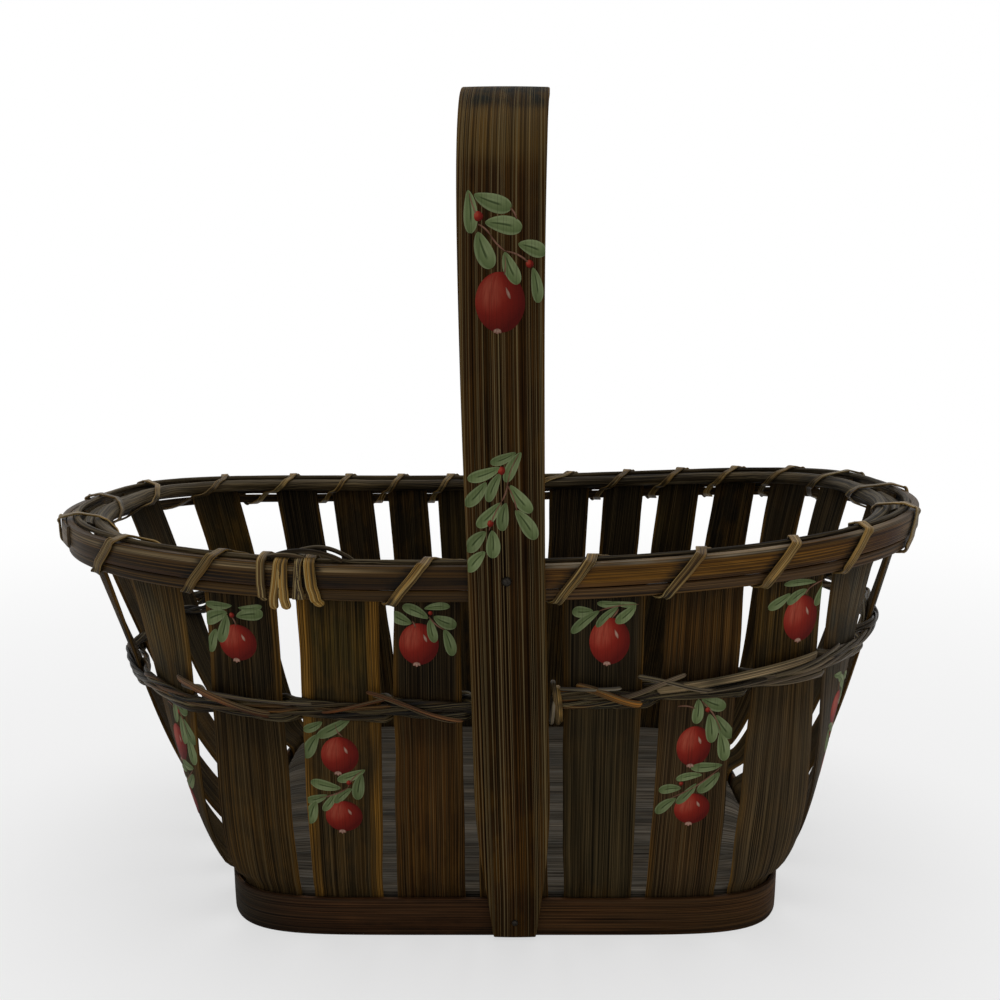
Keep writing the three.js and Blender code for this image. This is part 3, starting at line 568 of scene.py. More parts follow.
def stained_wood(name, fibre, run, pale, amber, roughness, contrast=1.0, shine=0.06, relief=0.0001):
    """Split wood or reed under thin oil stain: IOR 1.5, its shine dulled by the open grain."""
    material, tree = new_material(name)
    colour, height = stained_grain(tree, fibre, run, pale, amber, contrast)
    bump = add(tree, "Bump", {"Height": height, "Strength": 0.5, "Distance": relief})
    shader = add(tree, "BsdfPrincipled", {
        "Base Color": colour, "Normal": bump, "Roughness": roughness, "IOR": 1.5,
        "Specular IOR Level": shine})
    add(tree, "OutputMaterial", shader)
    return material


# After a name come the width of a fibre and its length in mm, the colours of bare fibres and of
# thin stain, the roughness, the contrast of the fibres and the shine.
# Staves and handle are split bamboo whose stain sinks in: matt, the handle rubbed by hands.
# Hoop, cane and split reed keep their smooth skin, which gives them a soft shine. The band at
# the foot lies between them, the round reeds are dull, and the boards are grey and open.
STAVE_WOOD = stained_wood("walnut-stained split bamboo", 0.56, 90, "#5a4b30", "#6b4b1a", 0.65, 1.0, 0.03)
HOOP_WOOD = stained_wood("amber-stained bamboo hoop", 0.8, 90, "#6e4f20", "#54370c", 0.45, 0.85, 0.08)
HANDLE_WOOD = stained_wood("rubbed bamboo handle strip", 0.56, 300, "#837350", "#54390f", 0.6, 1.1, 0.01)
BAND_WOOD = stained_wood("red-brown bamboo band", 0.7, 70, "#4f3b26", "#4d3018", 0.5, 0.8, 0.05)
REED = stained_wood("stained round reed", 0.8, 40, "#7a6d54", "#4a3a20", 0.5, 1.0, 0.04)
CANE = stained_wood("straw-brown cane strip", 0.6, 30, "#c2aa70", "#7d5f2c", 0.42, 1.05, 0.1)
SPLIT_REED = stained_wood("twined split reed", 0.5, 70, "#857752", "#6b4410", 0.36, 1.1, 0.1)
BOARD = stained_wood("weathered floor board", 1.3, 45, "#6e6a62", "#4a3c2a", 0.8, 0.7, 0.03)
print("materials:", len(bpy.data.materials))

# %% [markdown]
# ## The staves
# Each stave is a flat strip a little wider at the rim than at the foot, curved across where the
# oval turns and bent out over the foot band. A knife has split it, so its edges wander by some
# tenths of a millimetre and its face is slightly crowned. A box with a wood picture would show
# neither. The staves are darkest under the rim, along the twined band and at the foot, from stain
# that ran together there and from shade painted into their colour. A painted reflection of the
# sky greys them towards both ends. The third stave kept its pale bark side along both edges.

# %% Coats of colour
NEAR_BLACK_CODE = "#0f0c08"
NEAR_BLACK = linear(NEAR_BLACK_CODE)


def tone(a, b, t):
    """Two colours mixed by a share for each point."""
    return a + (b - a) * np.clip(t, 0, 1)[..., None]


def layered(colour, *coats):
    """A colour under layers laid on in turn, each a hex colour and its share: coats of stain,
    and on some pieces painted shade, highlights and sky reflection.
    """
    for code, share in coats:
        colour = tone(colour, linear(code), share)
    return colour


def inward(half, across, reach):
    """0 at the edge of a strip and 1 from reach inwards."""
    return ease((half - np.abs(across)) / reach)


def greyer(x, start, full):
    """How far a painted reflection of the sky greys both ends: 0 up to start, 1 from full on."""
    return ease((np.abs(x) - start) / (full - start))


print("half a coat of soot on white:", layered(np.ones(3), (NEAR_BLACK_CODE, 0.5)))

# %% Stains, painted shade and painted sky reflection of the staves
END_REFLECTION_GREY = linear("#4b4437")
# Upper and lower stain, of each stave in front and, by turns, of the others
FRONT_STAINS = [("#3d3420", "#32291a"), ("#211a0e", "#2c2110"), ("#30270f", "#2e2414"),
                ("#1c160d", "#3a260f"), ("#1e170d", "#241a0e"), ("#1d1810", "#302818"),
                ("#3c280f", "#382b1b"), ("#33260f", "#3f3424"), ("#3b362a", "#46413a")]
OTHER_STAINS = [("#211a10", "#2b2112"), ("#1b160e", "#211a10"), ("#29210f", "#241d12"),
                ("#1e180d", "#272012")]


def stave_half_at(row, z):
    """Half width of a stave at a height: from the foot's to the rim's by the way up."""
    return lerp(row.foot_half, row.rim_half, way_up(z, top_at(row.rim_at)))


def on_stave(row, across, z, off):
    """A point of the wall at millimetres across from a stave's middle line."""
    share = across / stave_half_at(row, z)
    return wall(row.foot_at + share * row.foot_half, row.rim_at + share * row.rim_half, z, off)


def flutter(number, z):
    """How far a stave waves in and out at a height."""
    return wander(z, 300 + number, 30, 0.12)


def weaver_height(x):
    """Height of the twined band: a tilt plus a rise by the square of the distance."""
    share = 2 * x / RIM_LENGTH
    return WEAVER_HEIGHT + WEAVER_TILT * share + WEAVER_END_RISE * share * share


def stave_colour(number, points, z, top):
    """Colour of a stave: its upper and lower stain, uneven by wander, darkened by bells above and
    under the twined band, by an eased step below the rim and by another at the foot, which stand
    for pooled stain and painted shade together, and greyed towards both ends by a painted
    reflection of the sky."""
    others = OTHER_STAINS[number % len(OTHER_STAINS)]
    high, low = FRONT_STAINS[number] if number < len(FRONT_STAINS) else others
    band = weaver_height(points[..., 0])
    colour = tone(linear(low), linear(high), ease((z - band + 18) / 36) + wander(z + 37 * number, 5, 22, 0.3))
    # Pooled stain and painted shade together: darker above and under the twined band, under the rim and at
    # the foot
    dark = 0.55 * np.exp(-((z - band - 9) / 7) ** 2) + 0.3 * np.exp(-((z - band + 9) / 6) ** 2)
    dark = dark + 0.55 * ease((z - top + 28) / 14) + 0.35 * ease((30 - z) / 16)
    colour = tone(colour, NEAR_BLACK, dark + wander(z + 51 * number, 6, 13, 0.1))
    # Painted reflection of the sky greys the staves towards both ends
    return tone(colour, END_REFLECTION_GREY, 0.4 * greyer(points[..., 0], 128, 180))


print("stains for", len(FRONT_STAINS), "front staves and", len(OTHER_STAINS), "kinds of others")

# %% Staves
# The stave whose bark shows broadly along its edges, by its number in the row
BARK_EDGED = 2
STAVE_STATIONS = 64
STAVE_FACE = STAVE_HALF - 0.12
STAVE_CROWN = 0.22
GRAIN_APART = 60.0


def make_stave(number):
    """A section of millimetres across and out at each height, both edges off by a wander. Amber
    shows along the edges, broad on the stave that kept its bark, and each stave has its own
    part of the grain pattern."""
    row = STAVES[number]
    t = np.linspace(0, 1, STAVE_STATIONS) ** 1.25
    top_middle = top_at(row.rim_at)
    z = lerp(STAVE_LIFT, top_middle - STAVE_DROP, t)
    half = stave_half_at(row, z)
    across, out, run = bar_section(half, STAVE_FACE, radius=0.45, face=11, crown=STAVE_CROWN)
    side = wander(z, 100 + number, 23, 0.35)[:, None] * (across > 0)
    side = side + wander(z, 200 + number, 19, 0.35)[:, None] * (across < 0)
    placed = across + side * np.abs(across) / half[:, None]
    top = top_at(row.rim_at + across / half[:, None] * row.rim_half)
    height = z[:, None] + (top - top_middle) * t[:, None]
    points = on_stave(row, placed, height, out + flutter(number, z)[:, None])
    bark = number == BARK_EDGED
    reach = (2.9 if bark else 0.5) + wander(z, 500 + number, 18, 0.5)[:, None]
    edge = ease((half[:, None] - np.abs(across) - reach) / 0.8 + 0.5)
    glow = np.clip((0.68 if bark else 0.3) + wander(z, 600 + number, 26, 0.3), 0, 1)[:, None]
    worn = 0.1 + wander(z, 400 + number, 40, 0.1)[:, None]
    grain = grain_grid(path_length(points[:, 0]), run + GRAIN_APART * number)
    return skin(points, grain, worn=worn, stain=stave_colour(number, points, height, top),
                edge=edge, glow=glow)


for number, row in enumerate(STAVES):
    make_piece(row.name + "_strip", [make_stave(number)], [STAVE_WOOD], [row.name])
print("staves of", STAVE_STATIONS, "stations")

# %% [markdown]
# ## The foot band
# A thin strip of red-brown bamboo is bent round the stave feet and carries the basket. It is
# carried round the foot's oval as one closed skin, straight at the bottom, where it stands. A
# ring cut from a cylinder would be round, and this foot is an oblong with tight corners.

# %% Foot band
BAND_STATIONS = 420


def hoop_stations(oval, count):
    """Places round an oval, closer together where it turns more: half of the measure is the
    distance and half is the turning of the normal."""
    s = np.linspace(0, oval["girth"], 2 * OVAL_STEPS - 1)
    nx, ny = on_oval(oval, s)[2:]
    turn = np.concatenate([[0], np.cumsum(np.abs(np.diff(np.unwrap(np.arctan2(ny, nx)))))])
    measure = 0.5 * s / s[-1] + 0.5 * turn / turn[-1]
    return np.interp(np.linspace(0, 1, count, endpoint=False), measure, s)


def make_foot_band():
    """A bar's section at each station, its upper edge off by a wander. The stain goes from brown
    to nearly black at the left end, and the colour is darker along the lower edge and the top one."""
    s = hoop_stations(FOOT, BAND_STATIONS)
    across, out, run = bar_section(np.full(len(s), BAND_HEIGHT / 2), BAND_THICK / 2 - 0.08, radius=0.5,
                                   face=7, crown=0.16)
    z = BAND_HEIGHT / 2 + across
    z = z + (across > 0) * wander(s, 11, 31, 0.25)[:, None] * across / BAND_HEIGHT
    off = INNER_FACE + BAND_THICK / 2 + out
    points = wall(s[:, None], rim_over(s)[:, None], z, off)
    x = points[..., 0]
    colour = layered(linear("#2e1b0f"), ("#3d2a15", 0.5 + 0.004 * x + wander(s, 12, 60, 0.5)[:, None]),
                    ("#1d1c14", 0.8 * ease((-x - 62) / 34)))
    colour = tone(colour, NEAR_BLACK, 0.6 * ease((4 - z) / 3.5) + 0.3 * ease((z - 12) / 3))
    return skin(points, grain_grid(s, run, True, FOOT["girth"]), closed=True, stain=colour,
                worn=0.2 + wander(s, 13, 26, 0.2)[:, None],
                edge=inward(BAND_HEIGHT / 2, across, 0.8), glow=0.25)


make_piece("foot_band_strip", [make_foot_band()], [BAND_WOOD], ["foot_band"])
print("foot band of", BAND_STATIONS, "stations")

# %% [markdown]
# ## The floor
# Two plain boards lie inside the stave feet. Each is made across its length: a station is a cut
# through the board at one place along the basket, from the oval's edge to the seam. A flat plate
# cut to the outline would be simpler, but has no points in its middle for the tool's waves.

# %% Floor boards
BOARD_STATIONS = 121
FLOOR_SINK = 0.3
OUTSIDE = 200
# A board stops just before the oval's tip, where it would have no width
BEFORE_TIP = 0.9995


def make_board(low, high, seed):
    """Between two limits of y. At each x the oval gives its own limit, b (1 - |x/a|^n)^(1/n). The
    upper face has low waves across the board, as a drawknife leaves them."""
    a = FOOT_LENGTH / 2 - BAND_FACE - STAVE_HALF - FLOOR_EASE
    b = FOOT_DEPTH / 2 - BAND_FACE - STAVE_HALF - FLOOR_EASE
    reach = min(abs(low), abs(high)) if low * high > 0 else 0
    end = a * (1 - (reach / b) ** FOOT_SQUARENESS) ** (1 / FOOT_SQUARENESS)
    x = end * np.sin(np.linspace(-1, 1, BOARD_STATIONS) * np.pi / 2) * BEFORE_TIP
    limit = b * (1 - np.abs(x / a) ** FOOT_SQUARENESS) ** (1 / FOOT_SQUARENESS)
    y_low, y_high = np.maximum(low, -limit), np.minimum(high, limit)
    half = (y_high - y_low) / 2
    across, out, run = bar_section(half, FLOOR_THICK / 2, radius=0.5, face=31, edge=3)
    middle = (y_high + y_low)[:, None] / 2
    relief = wander(across + 7 * seed, 20 + seed, 3.1, 0.16) + wander(across, 21 + seed, 11, 0.2)
    z = FLOOR_TOP - FLOOR_THICK / 2 - FLOOR_SINK + out + (out > 0) * relief
    x_wide = np.broadcast_to(x[:, None] + FOOT_SHIFT, z.shape)
    points = np.stack([x_wide, middle + across, z], -1)
    share = 0.5 + wander(across, 22 + seed, 9, 0.5) + wander(x_wide, 23 + seed, 40, 0.3)
    colour = tone(linear("#37342e"), linear("#514c44"), share)
    return skin(points, grain_grid(x, run), stain=colour, worn=0.2, edge=1.0, glow=0.0)


boards = (("front", -OUTSIDE, FLOOR_SEAM - CLEARANCE / 2), ("back", FLOOR_SEAM + CLEARANCE / 2, OUTSIDE))
for seed, (side, low, high) in enumerate(boards, 1):
    make_piece("floor_" + side, [make_board(low, high, seed)], [BOARD], ["floor_board_" + side])
print("floor top at", FLOOR_TOP, "mm")

# %% [markdown]
# ## The hoops of the rim
# A flat strip goes round outside the staves and laps over its own start at the left end, where
# both tips are shaved thin. A narrower strip lies under it. Inside the staves lies a round reed,
# a thin reed covers the stave tops, and short reeds fill the room at both ends. On the right the
# strip shows its amber skin side, on the left a dark, split one. A grey highlight is painted along
# its top edge, a shadow beside each turn of the lashing, and a grey reflection of the sky at both
# ends. One closed ring would be simpler, but the step of the lap shows that the strip was bent by hand.

# %% The lapped strip
LAP_START = HOOP_LAP_PLACE * RIM["girth"]


def hoop_faces(s):
    """Inner and outer face of the lapped strip. A tip grows from thin to full thickness over
    the lap, and the second turn climbs over the first before the lap begins."""
    past = s - LAP_START - RIM["girth"]
    start = lerp(HOOP_LAP_TIP, HOOP_THICK, np.clip((s - LAP_START) / HOOP_LAP, 0, 1))
    climb = np.clip(past / HOOP_LAP + 1, 0, 1) * (HOOP_LAP_TIP + LAP_CLEARANCE)
    over = np.clip(past / HOOP_LAP, 0, 1)
    under = lerp(HOOP_LAP_TIP, HOOP_THICK, over) + LAP_CLEARANCE
    plain = past < -HOOP_LAP
    inner = INNER_FACE + np.where(plain, 0, np.where(past < 0, climb, under))
    return inner, inner + np.where(plain, start, lerp(HOOP_THICK, HOOP_LAP_TIP, over))


def rim_outer_face(rim_at):
    """How far out the rim stands at a place, over the lap too."""
    s = LAP_START + np.mod(rim_at - LAP_START, RIM["girth"])
    second = s + RIM["girth"]
    lapped = np.where(second <= LAP_START + RIM["girth"] + HOOP_LAP, hoop_faces(second)[1], 0)
    return np.maximum(hoop_faces(s)[1], lapped)


print("the strip laps over itself at %.0f mm round the rim" % LAP_START)

# %% Gaps for the lashing
# The lashing goes between the staves, and a shadow is painted on the hoop beside it, so its places come
# first.
# The wraps of the knot at the front left: place, lean, depth, width and two colours of each
KNOT_WRAPS = (
    (-79.2, 0.6, -14.6, 3.4, "#3a2b16", "#5d4622"), (-75.6, 3.4, -17.4, 3.6, "#573f1c", "#7d5f28"),
    (-71.2, 0.2, -17.2, 3.7, "#6a5026", "#8c6c32"), (-67.4, 2.0, -12.5, 2.4, "#1d160d", "#30251a"),
    (-64.4, -1.6, -12.0, 2.2, "#1a140c", "#2b2117"), (-59.4, -2.6, -15.6, 3.9, "#5c441e", "#7d5f28"))
KNOT_END = KNOT_WRAPS[-1][0] + KNOT_WRAPS[-1][1]
# What the cane's width takes beside the handle
CANE_ROOM = 3.2


def lashing_gaps():
    """The gap after each stave, from the knot once round. Beside the handle it keeps clear of
    the strip, and the gap before the handle is passed by on both sides."""
    gaps, count = [], len(STAVES)
    for k in range(1, 2 + count):
        a, b = STAVES[k % count], STAVES[(k + 1) % count]
        turn = RIM["girth"] * (k // count)
        next_turn = RIM["girth"] * ((k + 1) // count)
        middle = (a.rim_at + a.rim_half + turn + b.rim_at - b.rim_half + next_turn) / 2
        if k % count in (FRONT, BACK):
            stray = HANDLE_STRAY if k % count == BACK else 0
            middle = max(middle, a.rim_at + turn + stray + (HANDLE_AT_RIM + CANE_ROOM) / 2 + CLEARANCE)
        if (k + 1) % count not in (FRONT, BACK):
            gaps.append(middle)
    return gaps


LASHING_GAPS = lashing_gaps()
print("the lashing goes through", len(LASHING_GAPS), "gaps")

# %% Stain and painted light of the strip


def bark_side(points):
    """Where the hoop shows its amber skin: the right half of the front, to where it greys."""
    x, y = points[..., 0], points[..., 1]
    return ease((x - 8) / 12) * ease((-y - 5) / 50) * (1 - greyer(x, 152, 170))


def painted_lashing_shadow(places, across):
    """How much painted shadow the lashing casts on the hoop's face: exp of the fourth power
    of the distance from each crossing, whose place leans with the height."""
    share = 0.36 + 0.5 * (across / HOOP_HEIGHT + 0.5)
    away = (places[:, None] - LASHING_LEAN * share)[..., None] - np.array(LASHING_GAPS)
    away = (away + RIM["girth"] / 2) % RIM["girth"] - RIM["girth"] / 2
    return np.minimum(1, np.exp(-((away + 1.3) / 4.0) ** 4).sum(-1))


def hoop_colour(points, across, lashing_shadow):
    """Dark amber on the right of the front, dark split bamboo on the left with a tan line under
    its top edge, greyed at both ends by a painted reflection of the sky, nearly black in the
    painted shadow beside the lashing, and with a painted grey highlight along the top."""
    x = points[..., 0]
    right, upper = bark_side(points), across - HOOP_HEIGHT / 2
    amber = layered(linear("#2e1b0e"), ("#54370c", ease((x - 14) / 24) * (1 - greyer(x, 118, 150))),
                   ("#6e4c1c", 0.45 * wander(x + 3 * across, 37, 9)))
    lower = ease((1 - across) / 2.4) * (1 - right)
    split = ease((wander(across + 0.004 * x, 31, 0.9) + 0.05) * 4) * (1 - right)
    line = np.exp(-((upper + 1.7) / 0.9) ** 2) * (1 - right)
    colour = layered(tone(linear("#33230f"), amber, right),
                    ("#100c08", 0.85 * lower * (0.7 + wander(x + 5 * across, 38, 11, 0.5))),
                    (NEAR_BLACK_CODE, 0.85 * split),
                    ("#75664b", 0.8 * line * ease((-20 - x) / 40) * ease((x + 172) / 20)),
                    ("#33241a", 0.7 * ease((-across - HOOP_HEIGHT / 2 + 2.2) / 1.6)),
                    # Painted reflection of the sky greys both ends; the last coat is the painted shadow
                    # beside the lashing
                    ("#453724", 0.25 * greyer(-x, 130, 172) * (x < 0)),
                    ("#6b6151", 0.75 * greyer(x, 150, 170)), (NEAR_BLACK_CODE, 0.94 * lashing_shadow))
    # Painted highlight along the top face: grey on the right, in patches on the left
    painted_top_highlight = tone(linear("#585146"), linear("#857b68"), right)
    painted_top_highlight = tone(linear("#17150f"), painted_top_highlight, wander(x, 36, 14, 0.6) + 0.35 * right)
    return tone(colour, painted_top_highlight, 0.9 * ease((upper + 0.6 + 0.9 * right) / 0.5))


print("share of amber skin at 60 mm round the rim: %.2f" % bark_side(upright(60.0, OUTER_FACE, 0.0)))

# %% Hoops
HOOP_STATIONS, UNDER_STATIONS = 520, 400


def make_outer_hoop():
    """A bar's section along the lapped strip, between its inner and outer face."""
    places = np.linspace(LAP_START, LAP_START + RIM["girth"] + HOOP_LAP, HOOP_STATIONS)
    inner, outer = hoop_faces(places)
    half = np.full(len(places), HOOP_HEIGHT / 2)
    across, out, run = bar_section(half, (outer - inner) / 2, radius=0.4, face=15, crown=0.12)
    drop = across - HOOP_HEIGHT / 2 + wander(places, 33, 45, 0.25)[:, None]
    points = upright(places[:, None], ((inner + outer) / 2)[:, None] + out, drop)
    # The painted shadow beside the lashing; it also holds back the amber of worn patches
    lashing_shadow = painted_lashing_shadow(places, across)
    return skin(points, grain_grid(places, run), stain=hoop_colour(points, across, lashing_shadow),
                worn=(0.1 + 0.22 * bark_side(points)) * (1 - lashing_shadow), glow=0.15,
                edge=inward(HOOP_HEIGHT / 2, across, 0.8))


def make_under_hoop():
    """A bar's section round the whole rim, a clearance below the strip above."""
    s = hoop_stations(RIM, UNDER_STATIONS)
    half = np.full(len(s), UNDER_HEIGHT / 2)
    across, out, run = bar_section(half, UNDER_THICK / 2, radius=0.5, face=7, crown=0.15)
    drop = -HOOP_HEIGHT - CLEARANCE - UNDER_HEIGHT / 2 + across + wander(s, 34, 38, 0.2)[:, None]
    points = upright(s[:, None], INNER_FACE + UNDER_THICK / 2 + out, drop)
    colour = layered(linear("#221a0f"), ("#3a2b17", 0.4 + wander(s, 35, 30, 0.5)[:, None]),
                    ("#4a3826", 0.8 * bark_side(points)),
                    # Painted reflection of the sky greys both ends
                    ("#4d4335", 0.7 * greyer(points[..., 0], 145, 170)))
    return skin(points, grain_grid(s, run, True, RIM["girth"]), closed=True, stain=colour, worn=0.1,
                edge=inward(UNDER_HEIGHT / 2, across, 0.6), glow=0.25)


make_piece("outer_hoop_strip", [make_outer_hoop()], [HOOP_WOOD], ["outer_hoop"])
make_piece("under_hoop_strip", [make_under_hoop()], [HOOP_WOOD], ["under_hoop"])
print("strip of", HOOP_STATIONS, "stations, over one of", UNDER_STATIONS)

# %% Reeds along the rim
REED_STATIONS, END_REED_STATIONS = 420, 31
FILLER_OFF = INNER_FACE - CLEARANCE - FILLER_DIAMETER / 2


def end_room(rim_at):
    """Room for the end reeds: their thickness, eased in over the last part of the rim."""
    share = np.abs(2 * (on_oval(RIM, rim_at)[0] - RIM_SHIFT) / (RIM_LENGTH - 2 * OUTER_FACE))
    return (END_REED_DIAMETER + CLEARANCE) * ease((share - END_ROOM_START) / (1 - END_ROOM_START))


def inner_hoop_off(rim_at):
    """How far out the middle of the inner reed is: inside the staves, and the end reeds too."""
    return -(STAVE_HALF + CLEARANCE + INNER_DIAMETER / 2 + end_room(rim_at))


def reed_on_rim(s, off, drop, radius, seed, closed, sides=14):
    """A round reed along the rim, its radius uneven by wander and its tone too, with a painted grey
    reflection of the sky towards both ends and a painted highlight on its upper half.
    """
    uneven = radius * (1 + wander(s, seed, 17, 0.05) + wander(s, seed + 1, 5, 0.03))
    out, up, run = round_section(uneven, sides)
    top = top_at(s)[:, None]
    points = wall(foot_under(s)[:, None], s[:, None], top + drop + up,
                  np.broadcast_to(off, s.shape)[:, None] + out)
    share = 0.4 - 0.004 * points[..., 0] + wander(s, seed + 2, 42, 0.5)[:, None]
    # Painted light on the reed: a grey sky reflection towards both ends and a highlight on its upper half
    reed_painted_light = (0.3 + 0.2 * np.sign(points[..., 0])) * greyer(points[..., 0], 135, 170)
    reed_painted_light = reed_painted_light + 0.3 * share * ease(up / radius)
    return skin(points, grain_grid(s, run, closed, RIM["girth"]), closed=closed, glow=0.0, edge=1.0,
                stain=layered(linear("#1f190f"), ("#3f3523", share), ("#3c382f", reed_painted_light)),
                worn=0.15 + wander(s, seed + 3, 30, 0.15)[:, None])


around = hoop_stations(RIM, REED_STATIONS)
inner_reed = reed_on_rim(around, inner_hoop_off(around), -INNER_DROP, INNER_DIAMETER / 2, 41, True, 18)
make_piece("inner_hoop_reed", [inner_reed], [REED], ["inner_hoop"])
filler = reed_on_rim(around, FILLER_OFF, FILLER_LIFT, FILLER_DIAMETER / 2, 51, True, 10)
make_piece("rim_filler_reed", [filler], [REED], ["rim_filler"])
end_radius = END_REED_DIAMETER / 2
for side, share in (("right", 0.25), ("left", 0.75)):
    for number, way in ((1, -1), (2, 1)):
        middle = share * RIM["girth"] + way * END_REED_SPREAD
        s = middle + END_REED_LENGTH * np.linspace(-0.5, 0.5, END_REED_STATIONS)
        reed = reed_on_rim(s, -(STAVE_HALF + CLEARANCE + end_radius), -end_radius - STAVE_DROP,
                           end_radius, 60 + number, False)
        make_piece(f"end_reed_{side}_{number}_cut", [reed], [REED],
                   [f"end_reed_{side}_{number}"])
print("reeds along the rim, the long ones of", REED_STATIONS, "stations")

# %% [markdown]
# ## The lashing
# One strip of split cane spirals round the whole rim. It comes out through a gap between two
# staves, leans up over the hoop's face, crosses the top and goes down inside to the next gap.
# The path is a row of stops that hug the rim's section, averaged over a few millimetres so that
# the cane bends as it really can. The strip lies flat on the rim, so its outward side is square
# to the path and to the rim's own direction. Separate rings would be easier, but inside the rim
# nothing would lead from one to the next. Four golden wraps and two thin dark ones, drawn tight
# beside each other at the front left, are the knot.

# %% Path of the lashing
UNDER_TOP = -HOOP_HEIGHT - CLEARANCE
UNDER_BOTTOM = UNDER_TOP - UNDER_HEIGHT
UNDER_FACE = INNER_FACE + UNDER_THICK
LASHING_WIDTH, LASHING_THICK = 3.7, 0.8
LASHING_STAND, LASHING_CORNER = 0.85, 0.65
HOOP_TURNS = ((90, 0.08), (135, 0.24), (180, 0.4), (225, 0.58), (270, 0.8))


def on_rim(at, off, drop):
    """A stop outside the rim: a place round it, and the point upright over that place."""
    return at, upright(at, off, drop)


def on_wall(at, off, drop):
    """A stop inside the rim: a place round it, and the point that leans with the wall."""
    return at, wall(foot_under(at), at, top_at(at) + drop, off)


def on_inner_reed(at, degrees, radius):
    """A stop on the inner reed, by the angle round its section."""
    angle = math.radians(degrees)
    return on_wall(at, inner_hoop_off(at) + radius * math.cos(angle), radius * math.sin(angle) - INNER_DROP)


def over_the_rim(start, lean):
    """Stops from under the hoops, up over their face and across the top, by share of the lean."""
    low = UNDER_BOTTOM - LASHING_CORNER
    stops = [on_rim(start + share * lean, off, low) for share, off in (
        (0, INNER_FACE), (0.08, UNDER_FACE + LASHING_CORNER), (0.14, UNDER_FACE + LASHING_STAND))]
    face = ((0.36, LASHING_STAND, UNDER_TOP), (0.62, LASHING_STAND, -HOOP_HEIGHT / 2),
            (0.86, LASHING_STAND, LASHING_CORNER), (0.9, LASHING_CORNER, LASHING_STAND))
    for share, stand, drop in face:
        at = start + share * lean
        stops.append(on_rim(at, rim_outer_face(at) + stand, drop))
    stops.append(on_rim(start + lean, FILLER_OFF, FILLER_LIFT + FILLER_DIAMETER / 2 + LASHING_STAND))
    return stops


def down_inside(over, to):
    """Stops round the inner reed, by angle, down to where the next gap begins."""
    radius = INNER_DIAMETER / 2 + LASHING_STAND + 0.2
    return [on_inner_reed(lerp(over, to, share), degrees, radius) for degrees, share in HOOP_TURNS]


print("stops in one turn of the lashing:", len(over_the_rim(0.0, 1.0)) + len(HOOP_TURNS) + 1)

# %% A strip of cane
CANE_STEP = 0.6


def out_of_rim(points, s):
    """How far outside the staves' middle the points are, along the rim's normal."""
    x, y, nx, ny = on_oval(RIM, s)
    return (points[:, 0] - x) * nx + (points[:, 1] - y) * ny


def cane_strip(stops, width, thick, seed, base, other, painted_shade_below=-30.0):
    """A flat strip through stops on the rim. Its width wanders, its ends are round, its outer
    face is crowned, and shade is painted on it inside the rim, less of it just under the top at
    the back, and below the given depth under its top. A painted reflection of the sky greys both ends."""
    path = np.array([[place, *point] for place, point in stops])
    run = path_length(path[:, 1:])
    at = np.linspace(0, run[-1], max(12, int(run[-1] / CANE_STEP)))
    path = softened(np.stack([np.interp(at, run, column) for column in path.T], 1), 5)
    s, points = path[:, 0], path[:, 1:]
    x, _, nx, ny = on_oval(RIM, s)
    along = np.stack([-ny, nx, 0 * nx], -1)
    tangent = unit(softened(np.gradient(points, axis=0), 3))
    outward = unit(softened(unit(np.cross(tangent, along)), 7))
    side = unit(np.cross(outward, tangent))
    outward = unit(np.cross(tangent, side))
    inside = ease((-out_of_rim(points, s) - 1) / 3)
    half = width / 2 * (1 + wander(at, seed, 24, 0.1) - 0.3 * inside) * rounded_ends(at, 0.5 * width, 0.02)
    across, out, grain_run = bar_section(half, thick / 2 - 0.05, np.minimum(0.25, half * 0.5)[:, None],
                                         face=5, crown=0.22)
    grid = points[:, None] + side[:, None] * across[..., None] + outward[:, None] * out[..., None]
    under = rim_top(x) - points[:, 2]
    # Painted shade inside the rim, less of it just under the top at the back, and everywhere below the given
    # depth under the top
    bright = 0.35 * (points[:, 1] > 0) * (under < 3)
    painted_shade = np.maximum(inside * (1 - bright), ease((under + painted_shade_below) / 2))[:, None]
    colour = layered(linear(base), (other, 0.5 + wander(at, seed + 1, 38, 0.7)[:, None]),
                    ("#1e180f", 0.88 * painted_shade),
                    (NEAR_BLACK_CODE, 0.5 * ease(np.abs(across) / half[:, None] * 2 - 1)),
                    # Painted reflection of the sky greys both ends
                    ("#574f40", 0.7 * greyer(grid[..., 0], 150, 170)))
    return skin(grid, grain_grid(at, grain_run), stain=colour, glow=0.35,
                edge=inward(half[:, None], across, 0.6),
                worn=0.3 + wander(at, seed + 2, 18, 0.3)[:, None])


print("a station of the cane every", CANE_STEP, "mm")

# %% Lashing and knot
WRAP_THICK, WRAP_RADIUS = 0.9, INNER_DIAMETER / 2 + 1.5


def make_lashing():
    """Over the rim and down inside at each gap in turn, from the end of the knot. The lean
    differs a little from turn to turn."""
    gaps, stops = LASHING_GAPS, []
    for i in range(len(gaps) - 1):
        lean = LASHING_LEAN + float(wander(i * 7.0, 70, 3, 1.2))
        at = gaps[i]
        if i:
            stops.append(on_wall(at, -STAVE_HALF - 1, UNDER_BOTTOM + 1.5))
            stops += over_the_rim(at, lean)
        stops += down_inside(max(at, KNOT_END) + lean * (i > 0), gaps[i + 1])
    # Shade is painted on the cane from 1.5 mm below the under hoop's top downwards
    return cane_strip(stops, LASHING_WIDTH, LASHING_THICK, 71, "#4e3a1c", "#735b30", UNDER_TOP - 1.5)


